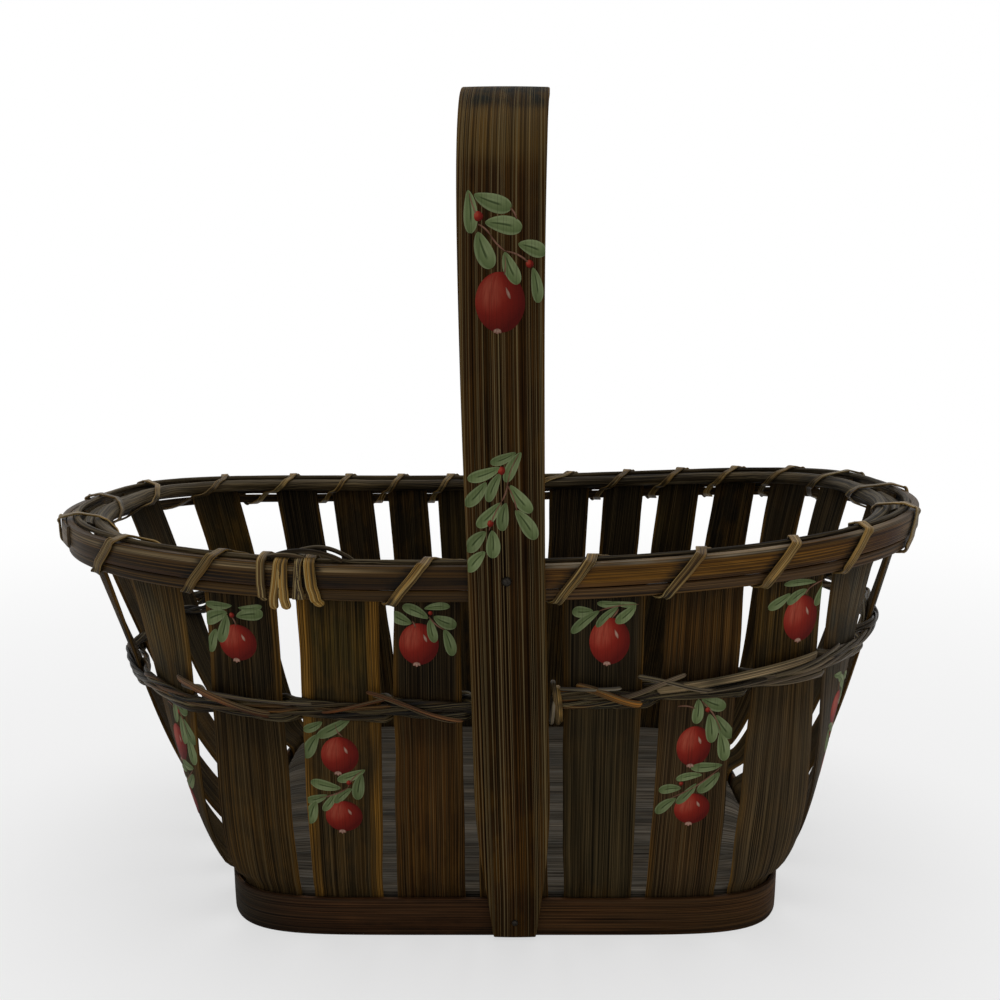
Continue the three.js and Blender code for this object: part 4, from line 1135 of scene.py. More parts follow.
def make_wrap(number, place, lean, low, width, base, other):
    """One wrap of the knot: it lies on the stave, climbs over both hoops and tucks in behind."""
    climb = ((0, STAVE_HALF + 1.0, low), (0, STAVE_HALF + 1.6, low + 2.2),
             (0.2, UNDER_FACE + 0.9, UNDER_BOTTOM), (0.4, UNDER_FACE + 1.3, UNDER_TOP - 1),
             (0.6, OUTER_FACE + 1.3, -HOOP_HEIGHT + 0.6), (0.8, OUTER_FACE + 1.4, -3),
             (0.9, OUTER_FACE + 1.2, 0.3), (1, OUTER_FACE - 0.6, 1.7), (1, FILLER_OFF, 2.6))
    stops = [on_rim(place + share * lean, off, drop) for share, off, drop in climb]
    stops += [on_inner_reed(place + lean, degrees, WRAP_RADIUS) for degrees in (100, 150, 200, 250)]
    return cane_strip(stops, width, WRAP_THICK, 171 + 5 * number, base, other)


wraps = [make_wrap(number, *wrap) for number, wrap in enumerate(KNOT_WRAPS)]
lashing = make_lashing()
make_piece("rim_lashing_strip", [lashing], [CANE], ["rim_lashing"])
make_piece("lashing_knot", wraps, [CANE])
print("lashing of", len(LASHING_GAPS) - 1, "turns,", len(lashing["corners"]), "points")

# %% [markdown]
# ## The twined band
# Three reeds go round at mid height. Each passes outside two staves and inside the third, and
# slants down as it goes, so that two always lie one above the other on the outside. A reed here
# is a bundle of four split fibres that turn slowly about each other, which gives the band its
# ropy, shiny look. A single round tube would look like wire.

# %% Path of a weaver
WEAVER_STAND = STAVE_HALF + 0.5 + 0.95
WEAVER_TUCK = 0.8
BAND_RISE = 1.2
WEAVER_STEP = WEAVER_WIDTH + CLEARANCE
# Side of the wall, and height at a stave's near and far edge, by turns of three staves
WEAVER_ROUND = ((1, 1, 0), (1, 0, -1), (-1, -1, 1))


def weaver_line(phase, s):
    """Distance out and lift of one weaver: side, and height at the start and end of each stave,
    by turns of three. Between staves both run on, and a sine keeps the crossing steep."""
    edges, outs, lifts = [], [], []
    for turn in TURNS[:, 0]:
        for k, row in enumerate(STAVES):
            side, high, low = WEAVER_ROUND[(k + len(STAVES) * turn + phase) % 3]
            grow = 1 + WEAVER_TUCK / row.rim_half
            middle = row.rim_at + turn * RIM["girth"]
            edges += [middle - row.rim_half * grow, middle + row.rim_half * grow]
            outs += [side, side]
            lifts += [high, low]
    return WEAVER_STAND * np.sin(np.pi / 2 * np.interp(s, edges, outs)), np.interp(s, edges, lifts)


def band_path(s, lift, off):
    """Points of the twined band, lift over its middle and off out from the staves' middle, with
    the way out of the wall there."""
    z = weaver_height(on_oval(RIM, s)[0]) + BAND_RISE + lift
    path = wall(foot_under(s), s, z, off)
    above = wall(foot_under(s), s, z + 1, off)
    return path, unit(np.cross(heading(path), above - path))


print("the weavers swing %.2f mm out and in" % WEAVER_STAND)

# %% Split reeds
BLUNT = 1.2


def strand(path, outward, half, thick, stain, tilt=0.0):
    """A split reed along a path: a flat crowned section whose face looks outward, turned about
    the path by tilt, dark at its edges and drawn in at both ends. Its first colour picks its
    own part of the grain pattern."""
    tangent = heading(path)
    upward = unit(np.cross(outward, tangent))
    outward = unit(np.cross(tangent, upward))
    run = path_length(path)
    half = half * rounded_ends(run, BLUNT, 0.03)
    across, height, around_run = bar_section(half, thick, np.minimum(0.42, 0.5 * half)[:, None],
                                             face=3, edge=2, crown=0.12)
    tilt = np.broadcast_to(tilt, run.shape)[:, None]
    grid = path[:, None] + upward[:, None] * (across - tilt * height)[..., None]
    grid = grid + outward[:, None] * (height + tilt * across)[..., None]
    at_edge = ease(np.abs(across) / half[:, None] * 2.4 - 1.4)
    colour = tone(np.broadcast_to(stain[:, None], grid.shape), NEAR_BLACK, 0.75 * at_edge)
    grain = grain_grid(run, around_run + 9 * float(stain[0, 0] * 100 % 7))
    return skin(grid, grain, stain=colour, edge=1.0, glow=0.0, worn=0.05)


print("a split reed is drawn in over its last", BLUNT, "mm")

# %% [markdown]
# ## Loose ends over the knot
# Three stiff ends of cane stand up in low loops over the knot, behind the top of the hoop. Each
# is a half sine above the rim, with both tips tucked into the lashing. Straight pegs would be
# quicker to make, but dry cane springs up in curves.

# %% Loose loops
LOOP_STATIONS = 80
# Start and end round the rim, rise, distance out, half width and seed
LOOPS = ((-77, -51, 3.6, 1.5, 0.9, 151), (-72, -47.5, 4.8, -0.6, 0.75, 153),
         (-79, -62, 2.4, 2.6, 0.8, 155))


def make_loop(start, end, rise, off, half, seed):
    """A half sine above the rim's top by rise, bowed outwards a little, its face turned up."""
    s = np.linspace(start, end, LOOP_STATIONS)
    t = (s - start) / (end - start)
    drop = 0.6 + rise * np.sin(np.pi * t) ** 0.8 + wander(s, seed, 8, 0.2)
    path = upright(s, off + 1.2 * np.sin(np.pi * t), drop)
    outward = unit(np.cross(heading(path), UP))
    colour = layered(NEAR_BLACK, ("#33291c", 0.35 + wander(s, seed + 1, 6, 0.8)))
    return strand(path, unit(outward + 0.8 * UP), half, 0.45, colour, 0.3)


make_piece("rim_lashing_loops", [make_loop(*row) for row in LOOPS], [REED])
print("loops over the knot:", len(LOOPS))

# %% Weavers
WEAVER_STATIONS = 1100
FIBRES = 4


def make_weaver(phase):
    """Four split fibres wind about the weaver's line: up by sin and out by cos of a turn that
    grows along the run. Stain and rust change along each, and pale highlights are painted in
    patches towards the right end."""
    start = STAVES[FRONT].rim_at + STAVES[FRONT].rim_half
    s = np.linspace(start + 5, start + RIM["girth"] - 1, WEAVER_STATIONS)
    line = softened(np.stack(weaver_line(phase, s), 1), 3)
    centre, outward = band_path(s, line[:, 1] * WEAVER_STEP, line[:, 0])
    run = path_length(centre)
    upward = unit(np.cross(outward, heading(centre)))
    fibres = []
    for k in range(FIBRES):
        turn = run / 8 + k * 2 * np.pi / FIBRES + wander(run, 80 + phase, 40, 1.3)
        up = 1.2 * np.sin(turn) + wander(run, 81 + 4 * k + phase, 33, 0.15)
        path = centre + upward * up[:, None] + outward * (0.55 * np.cos(turn))[:, None]
        rust = ease(wander(run, 110 + 5 * k + phase, 50) * 2.4 - 1.2)
        stained = 0.3 + wander(run, 120 + 3 * k + phase, 16, 0.9)
        # Painted highlight: pale patches towards the right end
        pale = ease((centre[:, 0] - 40) / 70) * ease(wander(run, 150 + k, 30) + 0.6)
        colour = layered(linear("#0a0805"), ("#3a2f1b", stained), ("#5a380d", 0.75 * rust),
                        ("#5d5140", 0.8 * pale))
        half = 0.85 + wander(run, 96 + k, 21, 0.18)
        fibres.append(strand(path, outward, half, 0.5, colour, 0.45 * np.cos(turn)))
    return fibres


for phase, name in enumerate(("weaver_first", "weaver_second", "weaver_third")):
    make_piece(name + "_reeds", make_weaver(phase), [SPLIT_REED], [name])
print("three weavers of", FIBRES, "fibres,", WEAVER_STATIONS, "stations each")

# %% [markdown]
# ## Reed ends over the band
# Where a reed ran out, a new one was laid in, and its end slants over the band and is tucked
# under it. To the right of the handle, three turns of reed tie the weavers' ends together. They
# lie on top of the band, so each is one flat reed on a path of its own.

# %% Crossing ends and the tie
CROSSING_STATIONS = 90
# Start and end round the rim, lift at both, half width and colour
CROSSINGS = ((-119, -80, 9.4, -0.6, 1.6, "#5e3208"), (-117, -64, 7.0, 4.2, 0.8, "#4f4539"),
             (-43.5, -10.5, 8.6, -3.4, 0.75, "#5b3a20"), (-41, -13, 7.0, -3.8, 0.5, "#3a2a1c"),
             (-60, -34, 1.0, 6.4, 0.8, "#5a3314"), (30, 54, 7.6, -1.6, 1.5, "#8f5a16"),
             (24, 46, 7.0, 5.4, 0.9, "#5f5a50"), (52.6, 82, 9.2, 0.4, 1.0, "#5f5547"),
             (46, 70, 1.6, 8.0, 1.1, "#4f4436"), (60, 121, 3.2, 6.4, 1.9, "#75654a"),
             (76, 101, 0.4, 1.6, 0.6, "#54493a"), (104, 134, 2.4, 6.8, 0.9, "#5d5140"))
# Place round the rim, lean, depth below and height above the band's middle, half width, colour
TIES = ((23.4, -0.5, 7.6, 5.4, 1.3, "#7d6230"), (22.4, -0.9, 8.6, 7.6, 0.9, "#5b4a2c"),
        (21.6, 0.8, 8.4, 3.6, 0.8, "#6b6355"))


def make_crossing(start, end, high, low, half, shade, seed):
    """A flat reed that slants over the band: its lift goes from high to low by an eased step, and
    a half sine lifts it off the others, with both tips tucked under."""
    s = np.linspace(start, end, CROSSING_STATIONS)
    t = (s - start) / (end - start)
    off = WEAVER_STAND + 0.4 + 1.5 * np.sin(np.pi * t) ** 0.4
    path, outward = band_path(s, lerp(high, low, 0.5 * t + 0.5 * ease(t)) - BAND_RISE, off)
    colour = tone(linear(shade), NEAR_BLACK, 0.35 + wander(s, seed, 9, 0.35))
    return strand(path, outward, half + wander(s, seed + 1, 12, 0.15), 0.4, colour, 0.2)


def make_tie(place, lean, low, high, half, shade, seed):
    """A ring round the weavers in the gap beside the handle: an ellipse across the band, carried
    along by its lean."""
    turn = np.linspace(-0.5 * np.pi, 1.5 * np.pi, CROSSING_STATIONS)
    middle = weaver_height(on_oval(RIM, place)[0]) + BAND_RISE
    z = middle + np.where(np.sin(turn) > 0, high, low) * np.sin(turn)
    s = place + lean * np.sin(turn)
    path = wall(foot_under(s), s, z, (WEAVER_STAND + 1.8) * np.cos(turn))
    inmost = wall(foot_under(s), s, middle, 0.0)
    colour = tone(linear(shade), NEAR_BLACK, 0.3 + wander(turn * 6, seed, 2.5, 0.6))
    return strand(path, unit(path - inmost), half, 0.4, colour)


crossings = [make_crossing(*row, 160 + 2 * k) for k, row in enumerate(CROSSINGS)]
make_piece("weaver_crossings", crossings, [SPLIT_REED])
ties = [make_tie(*row, 141 + k) for k, row in enumerate(TIES)]
make_piece("weaver_tie", ties, [SPLIT_REED])
print("reed ends over the band:", len(crossings), "and turns of the tie:", len(ties))

# %% [markdown]
# ## The handle
# One strip runs up outside the front of the basket, bends over in an arch and goes down the back.
# It is broad over the grip and tapers to both feet. The legs follow the wall, and each half of
# the arch is a cubic curve that leaves the leg in its own direction and is level at the top. A
# half circle would be one line of code, and would kink where it meets the leaning legs.

# %% Legs of the handle
HANDLE_HALF = HANDLE_THICK / 2
LEG_STATIONS = 70
# A seat is the handle's place on the rim and on the foot
FRONT_SEAT = (STAVES[FRONT].rim_at, STAVES[FRONT].foot_at)
BACK_SEAT = (STAVES[BACK].rim_at + HANDLE_STRAY, STAVES[BACK].foot_at)


def handle_off(seat, z):
    """How far out the strip's middle is: clear of the foot band below and, by even steps, of the
    lower edge of the upright hoop."""
    top = top_at(seat[0])
    corner = upright(seat[0], OUTER_FACE, -HOOP_HEIGHT)
    reach = np.linalg.norm(corner - wall(seat[1], seat[0], corner[2], 0.0))
    share = np.clip(z / (top - HOOP_HEIGHT), 0, 1)
    return lerp(BAND_FACE, reach, share) + CLEARANCE + HANDLE_HALF


def handle_leg(seat):
    """Points up one leg and the strip's width there: a quarter sine up to the shoulder."""
    top = top_at(seat[0])
    z = np.linspace(0.6, top, LEG_STATIONS)
    points = wall(seat[1], seat[0], z, handle_off(seat, z))
    swell = np.sin(np.clip(z / HANDLE_SHOULDER_HEIGHT, 0, 1) * np.pi / 2)
    width = lerp(HANDLE_TIP, HANDLE_SHOULDER, swell)
    above = (z - HANDLE_SHOULDER_HEIGHT) / (top - HANDLE_SHOULDER_HEIGHT)
    return points, width + (HANDLE_AT_RIM - HANDLE_SHOULDER) * np.clip(above, 0, 1), top


print("the front leg is %.1f mm wide at its foot" % handle_leg(FRONT_SEAT)[1][0])

# %% Arch of the handle


def handle_quarter(leg, top, seat, crown, level):
    """A cubic curve from the top of a leg to the crown, with two guide points b and c between
    its ends: (1-t)^3 a + 3(1-t)^2 t b + 3(1-t) t^2 c + t^3 d."""
    height = (HANDLE_SHOULDER_HEIGHT + top) / 2
    middle = wall(seat[1], seat[0], height, handle_off(seat, height))
    a, d = leg[-1], crown
    b, c = a + unit(a - middle) * HANDLE_REACH, d + level * HANDLE_CROWN
    t = np.linspace(0, 1, LEG_STATIONS)[1:, None]
    return (1 - t) ** 3 * a + 3 * (1 - t) ** 2 * t * b + 3 * (1 - t) * t * t * c + t ** 3 * d


def handle_path():
    """Points from the front foot over the arch to the back foot, and the width at each. The
    width goes from the rim's to the grip's by a quarter sine."""
    front, front_width, front_top = handle_leg(FRONT_SEAT)
    back, back_width, back_top = handle_leg(BACK_SEAT)
    crown = (front[-1] + back[-1]) / 2
    crown[2] = HANDLE_TOP - HANDLE_HALF
    level = unit((back[-1] - front[-1]) * (1, 1, 0))
    up = handle_quarter(front, front_top, FRONT_SEAT, crown, -level)
    down = handle_quarter(back, back_top, BACK_SEAT, crown, level)
    share = np.linspace(0, 1, LEG_STATIONS)[1:]
    arch_width = lerp(HANDLE_AT_RIM, HANDLE_GRIP, np.sin(share * np.pi / 2))
    points = np.concatenate([front, up, down[-2::-1], back[::-1]])
    width = np.concatenate([front_width, arch_width, arch_width[-2::-1], back_width[::-1]])
    return points, width


HANDLE_POINTS, HANDLE_WIDTH = handle_path()
HANDLE_POINTS = softened(HANDLE_POINTS, 5)
HANDLE_RUN = path_length(HANDLE_POINTS)
HANDLE_OUT = unit(np.cross(RIGHT, heading(HANDLE_POINTS)))
print("handle strip %.0f mm long" % HANDLE_RUN[-1])

# %% Places on the handle
HANDLE_FACE = HANDLE_HALF - 0.1
HANDLE_CROWN_RISE = 0.25


def handle_half_at(run):
    """Half width of the handle at millimetres from its front foot."""
    return np.interp(run, HANDLE_RUN, HANDLE_WIDTH) / 2


def on_handle(across, run, off):
    """A point at millimetres across from the strip's middle and along it from the front foot."""
    middle, outward = (np.stack([np.interp(run, HANDLE_RUN, column) for column in grid.T], -1)
                       for grid in (HANDLE_POINTS, HANDLE_OUT))
    return middle + outward * np.asarray(off)[..., None] + np.asarray(across)[..., None] * RIGHT


print("half the grip is %.1f mm wide" % handle_half_at(HANDLE_RUN[-1] / 2))

# %% [markdown]
# ## The skin of the handle
# The strip is rubbed by hands and has bent for years over the same place. Its section has soft
# corners and a slight crown, its edges sway a little, and its colour changes with the height:
# painted light makes it olive-amber below the bend, painted shade makes the bend near black, and
# a painted grey highlight runs along the very top. A material for each of these would leave hard
# borders, so they are mixed in one stain colour.

# %% Handle strip


def handle_colour(points, across):
    """Red-brown with slow stripes and darker near the rim and at the foot, with painted light
    making it olive-amber below the bend of the crown, painted shade near black on the bend, and a
    painted grey highlight along the very top."""
    z = points[..., 2]
    share = 0.5 + wander(z, 130, 37, 0.4) + wander(across, 131, 4, 0.35)
    # Painted light: the upward-tilted part below the bend is lighter, olive-amber
    rubbed_and_lit = 0.85 * ease((z - 279) / 9) * ease((307 - z) / 6)
    darker_near_rim_and_foot = 0.5 * np.exp(-((z - 152) / 10) ** 2) + 0.25 * ease((24 - z) / 14)
    # Painted shade near black on the bend, and a painted grey highlight along the very top
    return layered(linear("#1f1408"), ("#32200f", share), ("#46361b", rubbed_and_lit),
                  ("#0d0e08", 0.97 * ease((z - 300) / 6)), ("#34332a", 0.8 * ease((z - 318.3) / 0.5)),
                  (NEAR_BLACK_CODE, darker_near_rim_and_foot))


def make_handle():
    """A bar's section along the handle's path, across by the way to the right, its edges off by
    a sway that grows from the middle."""
    across, out, run = bar_section(HANDLE_WIDTH / 2, HANDLE_FACE, radius=0.6, face=15,
                                   crown=HANDLE_CROWN_RISE)
    sway = wander(HANDLE_RUN, 132, 60, 0.25)[:, None] * np.sign(across) * np.abs(across) / 14
    points = HANDLE_POINTS[:, None] + HANDLE_OUT[:, None] * out[..., None]
    points = points + (across + sway)[..., None] * RIGHT
    return skin(points, grain_grid(HANDLE_RUN, run), stain=handle_colour(points, across),
                worn=0.2 + wander(HANDLE_RUN, 133, 48, 0.15)[:, None], glow=0.4,
                edge=inward(HANDLE_WIDTH[:, None] / 2, across, 1.1))


make_piece("handle_strip", [make_handle()], [HANDLE_WOOD], ["handle"])
print("handle from %.1f to %.1f mm wide" % (HANDLE_WIDTH.min(), HANDLE_WIDTH.max()))

# %% [markdown]
# ## Painted sprigs
# The decoration is the traditional kind of market ware: an apple under an arching twig of leaves,
# high on one stave and in pairs low on the next. Paint has body, so each stroke is a thin pillow
# that lies a tenth of a millimetre proud of the wood and sinks into it at its edges. Its first
# map is the wood's own grain, so that worn streaks run on through it, and its second goes along
# and across the stroke, for the midrib and the light side. A picture laid over the wood would be
# flat, and would break at the staves' edges.

# %% Oil paints
LEAF, FRUIT, BLOSSOM, TWIG = range(4)


def painted(name, base, dark, light, deep, spot, rim=0.0, rib=0.0):
    """Matt oil paint, brushed thin: dark far from one spot of the stroke, base nearer and light
    close to it, in brush marks along the stroke, a light rim and a deep midrib by their strength,
    and streaks worn off the grain. The pick attribute sets how light the stroke is."""
    material, tree = new_material(name)
    brush = add(tree, "UVMap", uv_map="brush")
    grain = add(tree, "UVMap", uv_map="grain")
    pick = add(tree, "Attribute", attribute_name="pick").outputs["Fac"]
    split = add(tree, "SeparateXYZ", brush)
    marks = streaks(tree, brush, 0.7, 0.09, 0.3, 0.7, 2.0, 8.1)
    apart = add(tree, "VectorMath", brush, (*spot, 0), operation="DISTANCE")
    near = add(tree, "MapRange", apart.outputs["Value"], 0.72, 0.3)
    body = add(tree, "Mix", near, rgba(dark), rgba(base), **MIX)
    close = add(tree, "MapRange", apart.outputs["Value"], 0.42, 0.05, 0, 0.75,
                interpolation_type="SMOOTHSTEP")
    brushed = add(tree, "Math", marks, 0.6, 0.4, operation="MULTIPLY_ADD")
    lit = add(tree, "Math", close, brushed, operation="MULTIPLY")
    bright = add(tree, "Mix", lit, body, rgba(light), **MIX)
    centred = add(tree, "Math", split.outputs["Y"], 0.5, operation="SUBTRACT")
    aside = add(tree, "Math", centred, operation="ABSOLUTE")
    at_rim = add(tree, "MapRange", aside, 0.3, 0.42, 0, rim)
    rimmed = add(tree, "Mix", at_rim, bright, rgba(light), **MIX)
    at_rib = add(tree, "MapRange", aside, 0.075, 0.035, 0, rib)
    short = add(tree, "MapRange", split.outputs["X"], 0.78, 0.66)
    foot = add(tree, "MapRange", split.outputs["X"], 0.1, 0.22)
    spine = add(tree, "Math", short, foot, operation="MULTIPLY")
    ribbed = add(tree, "Math", at_rib, spine, operation="MULTIPLY")
    veined = add(tree, "Mix", ribbed, rimmed, rgba(deep), **MIX)
    level = add(tree, "MapRange", pick, 0, 1, 0.6, 1.4)
    toned = add(tree, "Mix", 1.0, veined, level, blend_type="MULTIPLY", **MIX)
    bare = streaks(tree, grain, 0.4, 30, 0.54, 0.68, 3.0, 3.1)
    gone = add(tree, "Math", bare, 0.3, operation="MULTIPLY")
    colour = add(tree, "Mix", gone, toned, rgba("#1d140b"), **MIX)
    bump = add(tree, "Bump", {"Height": marks, "Strength": 0.3, "Distance": 0.00006})
    shader = add(tree, "BsdfPrincipled", {
        "Base Color": colour, "Normal": bump, "Roughness": 0.55, "IOR": 1.5,
        "Specular IOR Level": 0.05})
    add(tree, "OutputMaterial", shader)
    return material


PAINTS = [
    painted("sage green leaf paint", "#637048", "#4f5d38", "#7f8a63", "#2f3c1e", (0.5, 0.7), 0.6, 0.85),
    painted("apple red paint", "#842419", "#561410", "#ab5440", "#5e1913", (0.32, 0.27)),
    painted("blossom pink paint", "#96705f", "#7a4c3d", "#b8988a", "#7a4c3d", (0.5, 0.5)),
    painted("twig brown paint", "#6b4a3a", "#4a3527", "#8a6a58", "#4a3527", (0.5, 0.5)),
]
print("paints:", [paint.name for paint in PAINTS])

# %% Faces to paint on
PAINT_EDGE = 0.3


def stave_face(number):
    """The painted face of a stave: a function of across, height and lift over the wood."""
    row = STAVES[number]

    def place(across, z, lift):
        """Held inside the stave's edges, and raised by its crown and flutter."""
        half = stave_half_at(row, z)
        held = np.clip(across, PAINT_EDGE - half, half - PAINT_EDGE)
        rise = STAVE_CROWN * (1 - (held / half) ** 2) + flutter(number, z)
        return on_stave(row, held, z, STAVE_FACE + rise + lift)

    return place


def handle_face(across, run, lift):
    """The painted face of the handle, by across, run from the front foot and lift."""
    half = handle_half_at(run)
    held = np.clip(across, PAINT_EDGE - half, half - PAINT_EDGE)
    return on_handle(held, run, HANDLE_FACE + HANDLE_CROWN_RISE * (1 - (held / half) ** 2) + lift)


print("paint keeps", PAINT_EDGE, "mm off each edge")

# %% Strokes
STROKE_SIDES, STROKE_STATIONS = 18, 22
DAB, TWIG_WIDTH = 1.2, 0.65


def swelling(kind, t):
    """Half width of a stroke along its way: t^0.6 (1 - t^2.2)^0.5 for a leaf, which is broad
    near its round tip, a half circle for a fruit, a drop for a blossom's dab, and nearly even
    for a twig."""
    if kind == LEAF:
        return 1.66 * t ** 0.6 * np.sqrt(1 - t ** 2.2)
    if kind == BLOSSOM:
        return np.sin(np.pi * t ** 1.3) ** 0.7
    return np.sqrt(4 * t * (1 - t)) if kind == FRUIT else (4 * t * (1 - t)) ** 0.2


def stroke(face, shift, light, start, end, width, kind, lift, bend=0.0, pick=None):
    """A pillow between two places on a face. Its middle line is a curve bent sideways by bend,
    and its section is an ellipse with its lower half sunk in the wood."""
    start, end = np.array(start, float), np.array(end, float)
    t = 0.004 + 0.992 * (1 - np.cos(np.pi * np.linspace(0, 1, STROKE_STATIONS))) / 2
    way = end - start
    normal = np.array([-way[1], way[0]]) / np.hypot(*way)
    middle = start + way * t[:, None] + normal * (4 * bend * t * (1 - t))[:, None]
    sideways = heading(middle)[:, ::-1] * (-1, 1)
    half = width / 2 * swelling(kind, t)
    angle = 2 * np.pi * (np.arange(STROKE_SIDES) + 0.5) / STROKE_SIDES
    place = middle[:, None] + sideways[:, None] * (half[:, None] * np.cos(angle))[..., None]
    rise = np.where(np.sin(angle) > 0, lift, 0.3) * np.sin(angle)
    points = face(place[..., 0], place[..., 1], rise)
    grain = np.stack([shift - place[..., 0], place[..., 1]], -1)
    brush = np.stack(np.broadcast_arrays(t[:, None], 0.5 + 0.5 * np.cos(angle)), -1)
    grain, brush = (np.concatenate([flat, flat[:, :1]], 1) for flat in (grain, brush))
    return skin(points, grain, material=kind, brush=brush, pick=light if pick is None else pick)


def sprig(face, shift, light, apple, leaves, berries=(), twigs=()):
    """Strokes of one sprig: an apple by its middle and half sizes with a pale dab and a blossom
    end, leaves from foot to tip with their width, round berries, and twigs with their bend."""
    rows = []
    if apple:
        x, z, wide, tall = apple
        rows = [((x, z + tall), (x, z - tall), 2 * wide, FRUIT, 0.12),
                ((x + 0.22 * wide, z + 0.5 * tall), (x + 0.4 * wide, z + 0.1 * tall), DAB, BLOSSOM, 0.2)]
        for angle in np.radians((-42, 0, 40)):
            tip = np.array([x - 0.12 * wide, z - 0.86 * tall])
            way = np.array([math.sin(angle), -math.cos(angle)])
            rows.append((tip, tip + way * 1.9, DAB, BLOSSOM, 0.24))
    for k, (x0, z0, x1, z1, width) in enumerate(leaves):
        pick = light + float(wander(5.0 * k + x0, 140, 1.7, 0.18))
        rows.append(((x0, z0), (x1, z1), width, LEAF, 0.18 + 0.015 * (k % 3), (0.5, -0.5)[k % 2], pick))
    rows += [((x, z + r), (x, z - r), 2 * r, FRUIT, 0.25) for x, z, r in berries]
    rows += [((x0, z0), (x1, z1), TWIG_WIDTH, TWIG, 0.22, bend) for x0, z0, x1, z1, bend in twigs]
    return [stroke(face, shift, light, *row) for row in rows]


print("a stroke has", STROKE_STATIONS * STROKE_SIDES, "points")

# %% [markdown]
# ## Where the sprigs go
# The tables give each sprig in millimetres across and up its stave: the apple, then leaves,
# berries and twigs. Two of the pairs repeat the others, as a painter would: narrower, and one of
# them in a mirror. The handle has a sprig with an apple and, lower down, a spray of leaves alone.
# Leaves strewn at random would be less to write, but a painter's leaves follow the twig.

# %% Sprigs on the staves
LEFT_PICK, RIGHT_PICK = 0.4, 0.56
SINGLE_SPRIGS = {
    1: ((-1.4, 117.2, 7.3, 6.8),
        [(-2.6, 131, -13.3, 131, 3.2), (-4.6, 128.2, -14.6, 123.8, 5.2), (-5, 127.4, -8.5, 116.8, 4.7),
         (-9.6, 121.6, -12.6, 112.5, 4.1), (-1.2, 127, 9, 128.4, 5.0), (-0.2, 130.4, 8.8, 131.4, 2.4)],
        [(-2.9, 127.4, 1.0)], [(-2.9, 126.6, -1.6, 123.6, 0.3)]),
    3: ((-3.0, 118.6, 7.1, 7.8),
        [(-5.4, 126.4, -12.8, 130.2, 4.4), (0.4, 128.2, -8.6, 132.6, 4.1), (-1, 131.8, 8, 132.6, 2.9),
         (2.4, 129, 10.3, 125.6, 4.7), (5.9, 124.2, 8.7, 114.2, 4.2), (1.2, 128, 2.8, 119.3, 3.8)],
        [(1.2, 130.2, 0.8)], [(0.6, 129, 6.2, 124, -0.6), (-5.2, 127.2, -4.2, 124.8, 0.2)]),
    5: ((2.1, 119.6, 7.3, 8.8),
        [(-4, 131, -11.2, 131, 4.3), (-1.7, 130.9, -11.4, 122.6, 3.7), (7.2, 133.5, -2.6, 133.8, 2.6),
         (4.8, 132.2, -2.6, 124.8, 3.1), (11, 132.8, 4, 126.4, 4.1), (2.6, 134.2, 11.4, 133, 2.2)],
        [], [(-2, 130.8, 12, 133, 0.8), (5, 131.6, 2.6, 128.2, 0.2)]),
    7: ((4.4, 124.6, 7.6, 8.6),
        [(-1.2, 134.4, -9.6, 129.4, 3.9), (6, 135.2, -2, 130.4, 4.0), (15.4, 138, 10.4, 128.6, 4.2),
         (10, 137.6, -4, 137.8, 2.6)],
        [], [(6, 135, 14, 138, 0.5), (5.4, 133.4, 7.4, 136, 0.2)])}
DOUBLE_SPRIGS = {
    2: [((-0.9, 75.2, 7.0, 7.3),
         [(-6.9, 88.3, -14, 84.8, 3.5), (-8.5, 83.2, -13.4, 73.6, 4.9), (3.4, 90, -9, 82.4, 4.4),
          (8, 91, -1, 90, 2.6)], [], [(-2, 87.4, 0.4, 82.6, -0.7)]),
        ((-0.2, 50.4, 6.9, 6.3),
         [(8.1, 69.5, -2.2, 65.2, 3.8), (6.9, 67.8, 5.1, 57.3, 4.6), (-0.9, 62, -11.9, 64.5, 4.2),
          (3.1, 61.8, -3.4, 55.8, 3.5), (-6.1, 59, -14, 56.4, 3.5), (-10.2, 56.2, -13, 46.8, 4.9),
          (-3.2, 59.8, -7.9, 52.6, 3.3)], [(2.1, 64.3, 1.0)],
         [(7, 69, 1.6, 62.2, -0.8), (1.6, 62.2, -9, 58, 0.8)])],
    6: [((-0.4, 78.2, 6.4, 7.9),
         [(-0.1, 96.6, -0.4, 87, 4.3), (1.2, 97, 10.4, 93, 5.2), (4.4, 90.6, 5.9, 79.3, 4.8),
          (7, 90, 13.6, 80.8, 5.0), (9, 83, 11.4, 71.8, 4.9)], [(3.8, 92.3, 1.0)],
         [(-7.4, 94, -1, 93, 0.6), (1, 96, 9, 84, 1.0)]),
        ((0.9, 53.0, 6.7, 6.2),
         [(10.8, 70.2, -0.9, 70, 3.9), (3.6, 66.6, -5.9, 65, 3.1), (10, 67.2, 2.4, 59.8, 4.6),
          (-3.8, 61.4, -11.9, 60.5, 3.8), (1.6, 63.2, -5.1, 55.3, 3.7), (-5.4, 57.4, -12.2, 51.3, 4.2)],
         [(-3.9, 63.4, 0.8)], [(10.4, 69.4, -8, 57.4, 1.2)])]}


def repeated(sprigs, scale, right, up):
    """The same sprigs again: across times scale plus right, which is a mirror where scale is
    negative, and height plus up."""
    def moved(row, ends):
        """The first few numbers of a row are places, by turns across and up."""
        places = [right + scale * v if k % 2 == 0 else v + up for k, v in enumerate(row[:ends])]
        return (*places, *row[ends:])

    return [(moved(apple, 2), [moved(leaf, 4) for leaf in leaves], [moved(berry, 2) for berry in berries],
             [moved(twig, 4) for twig in twigs]) for apple, leaves, berries, twigs in sprigs]


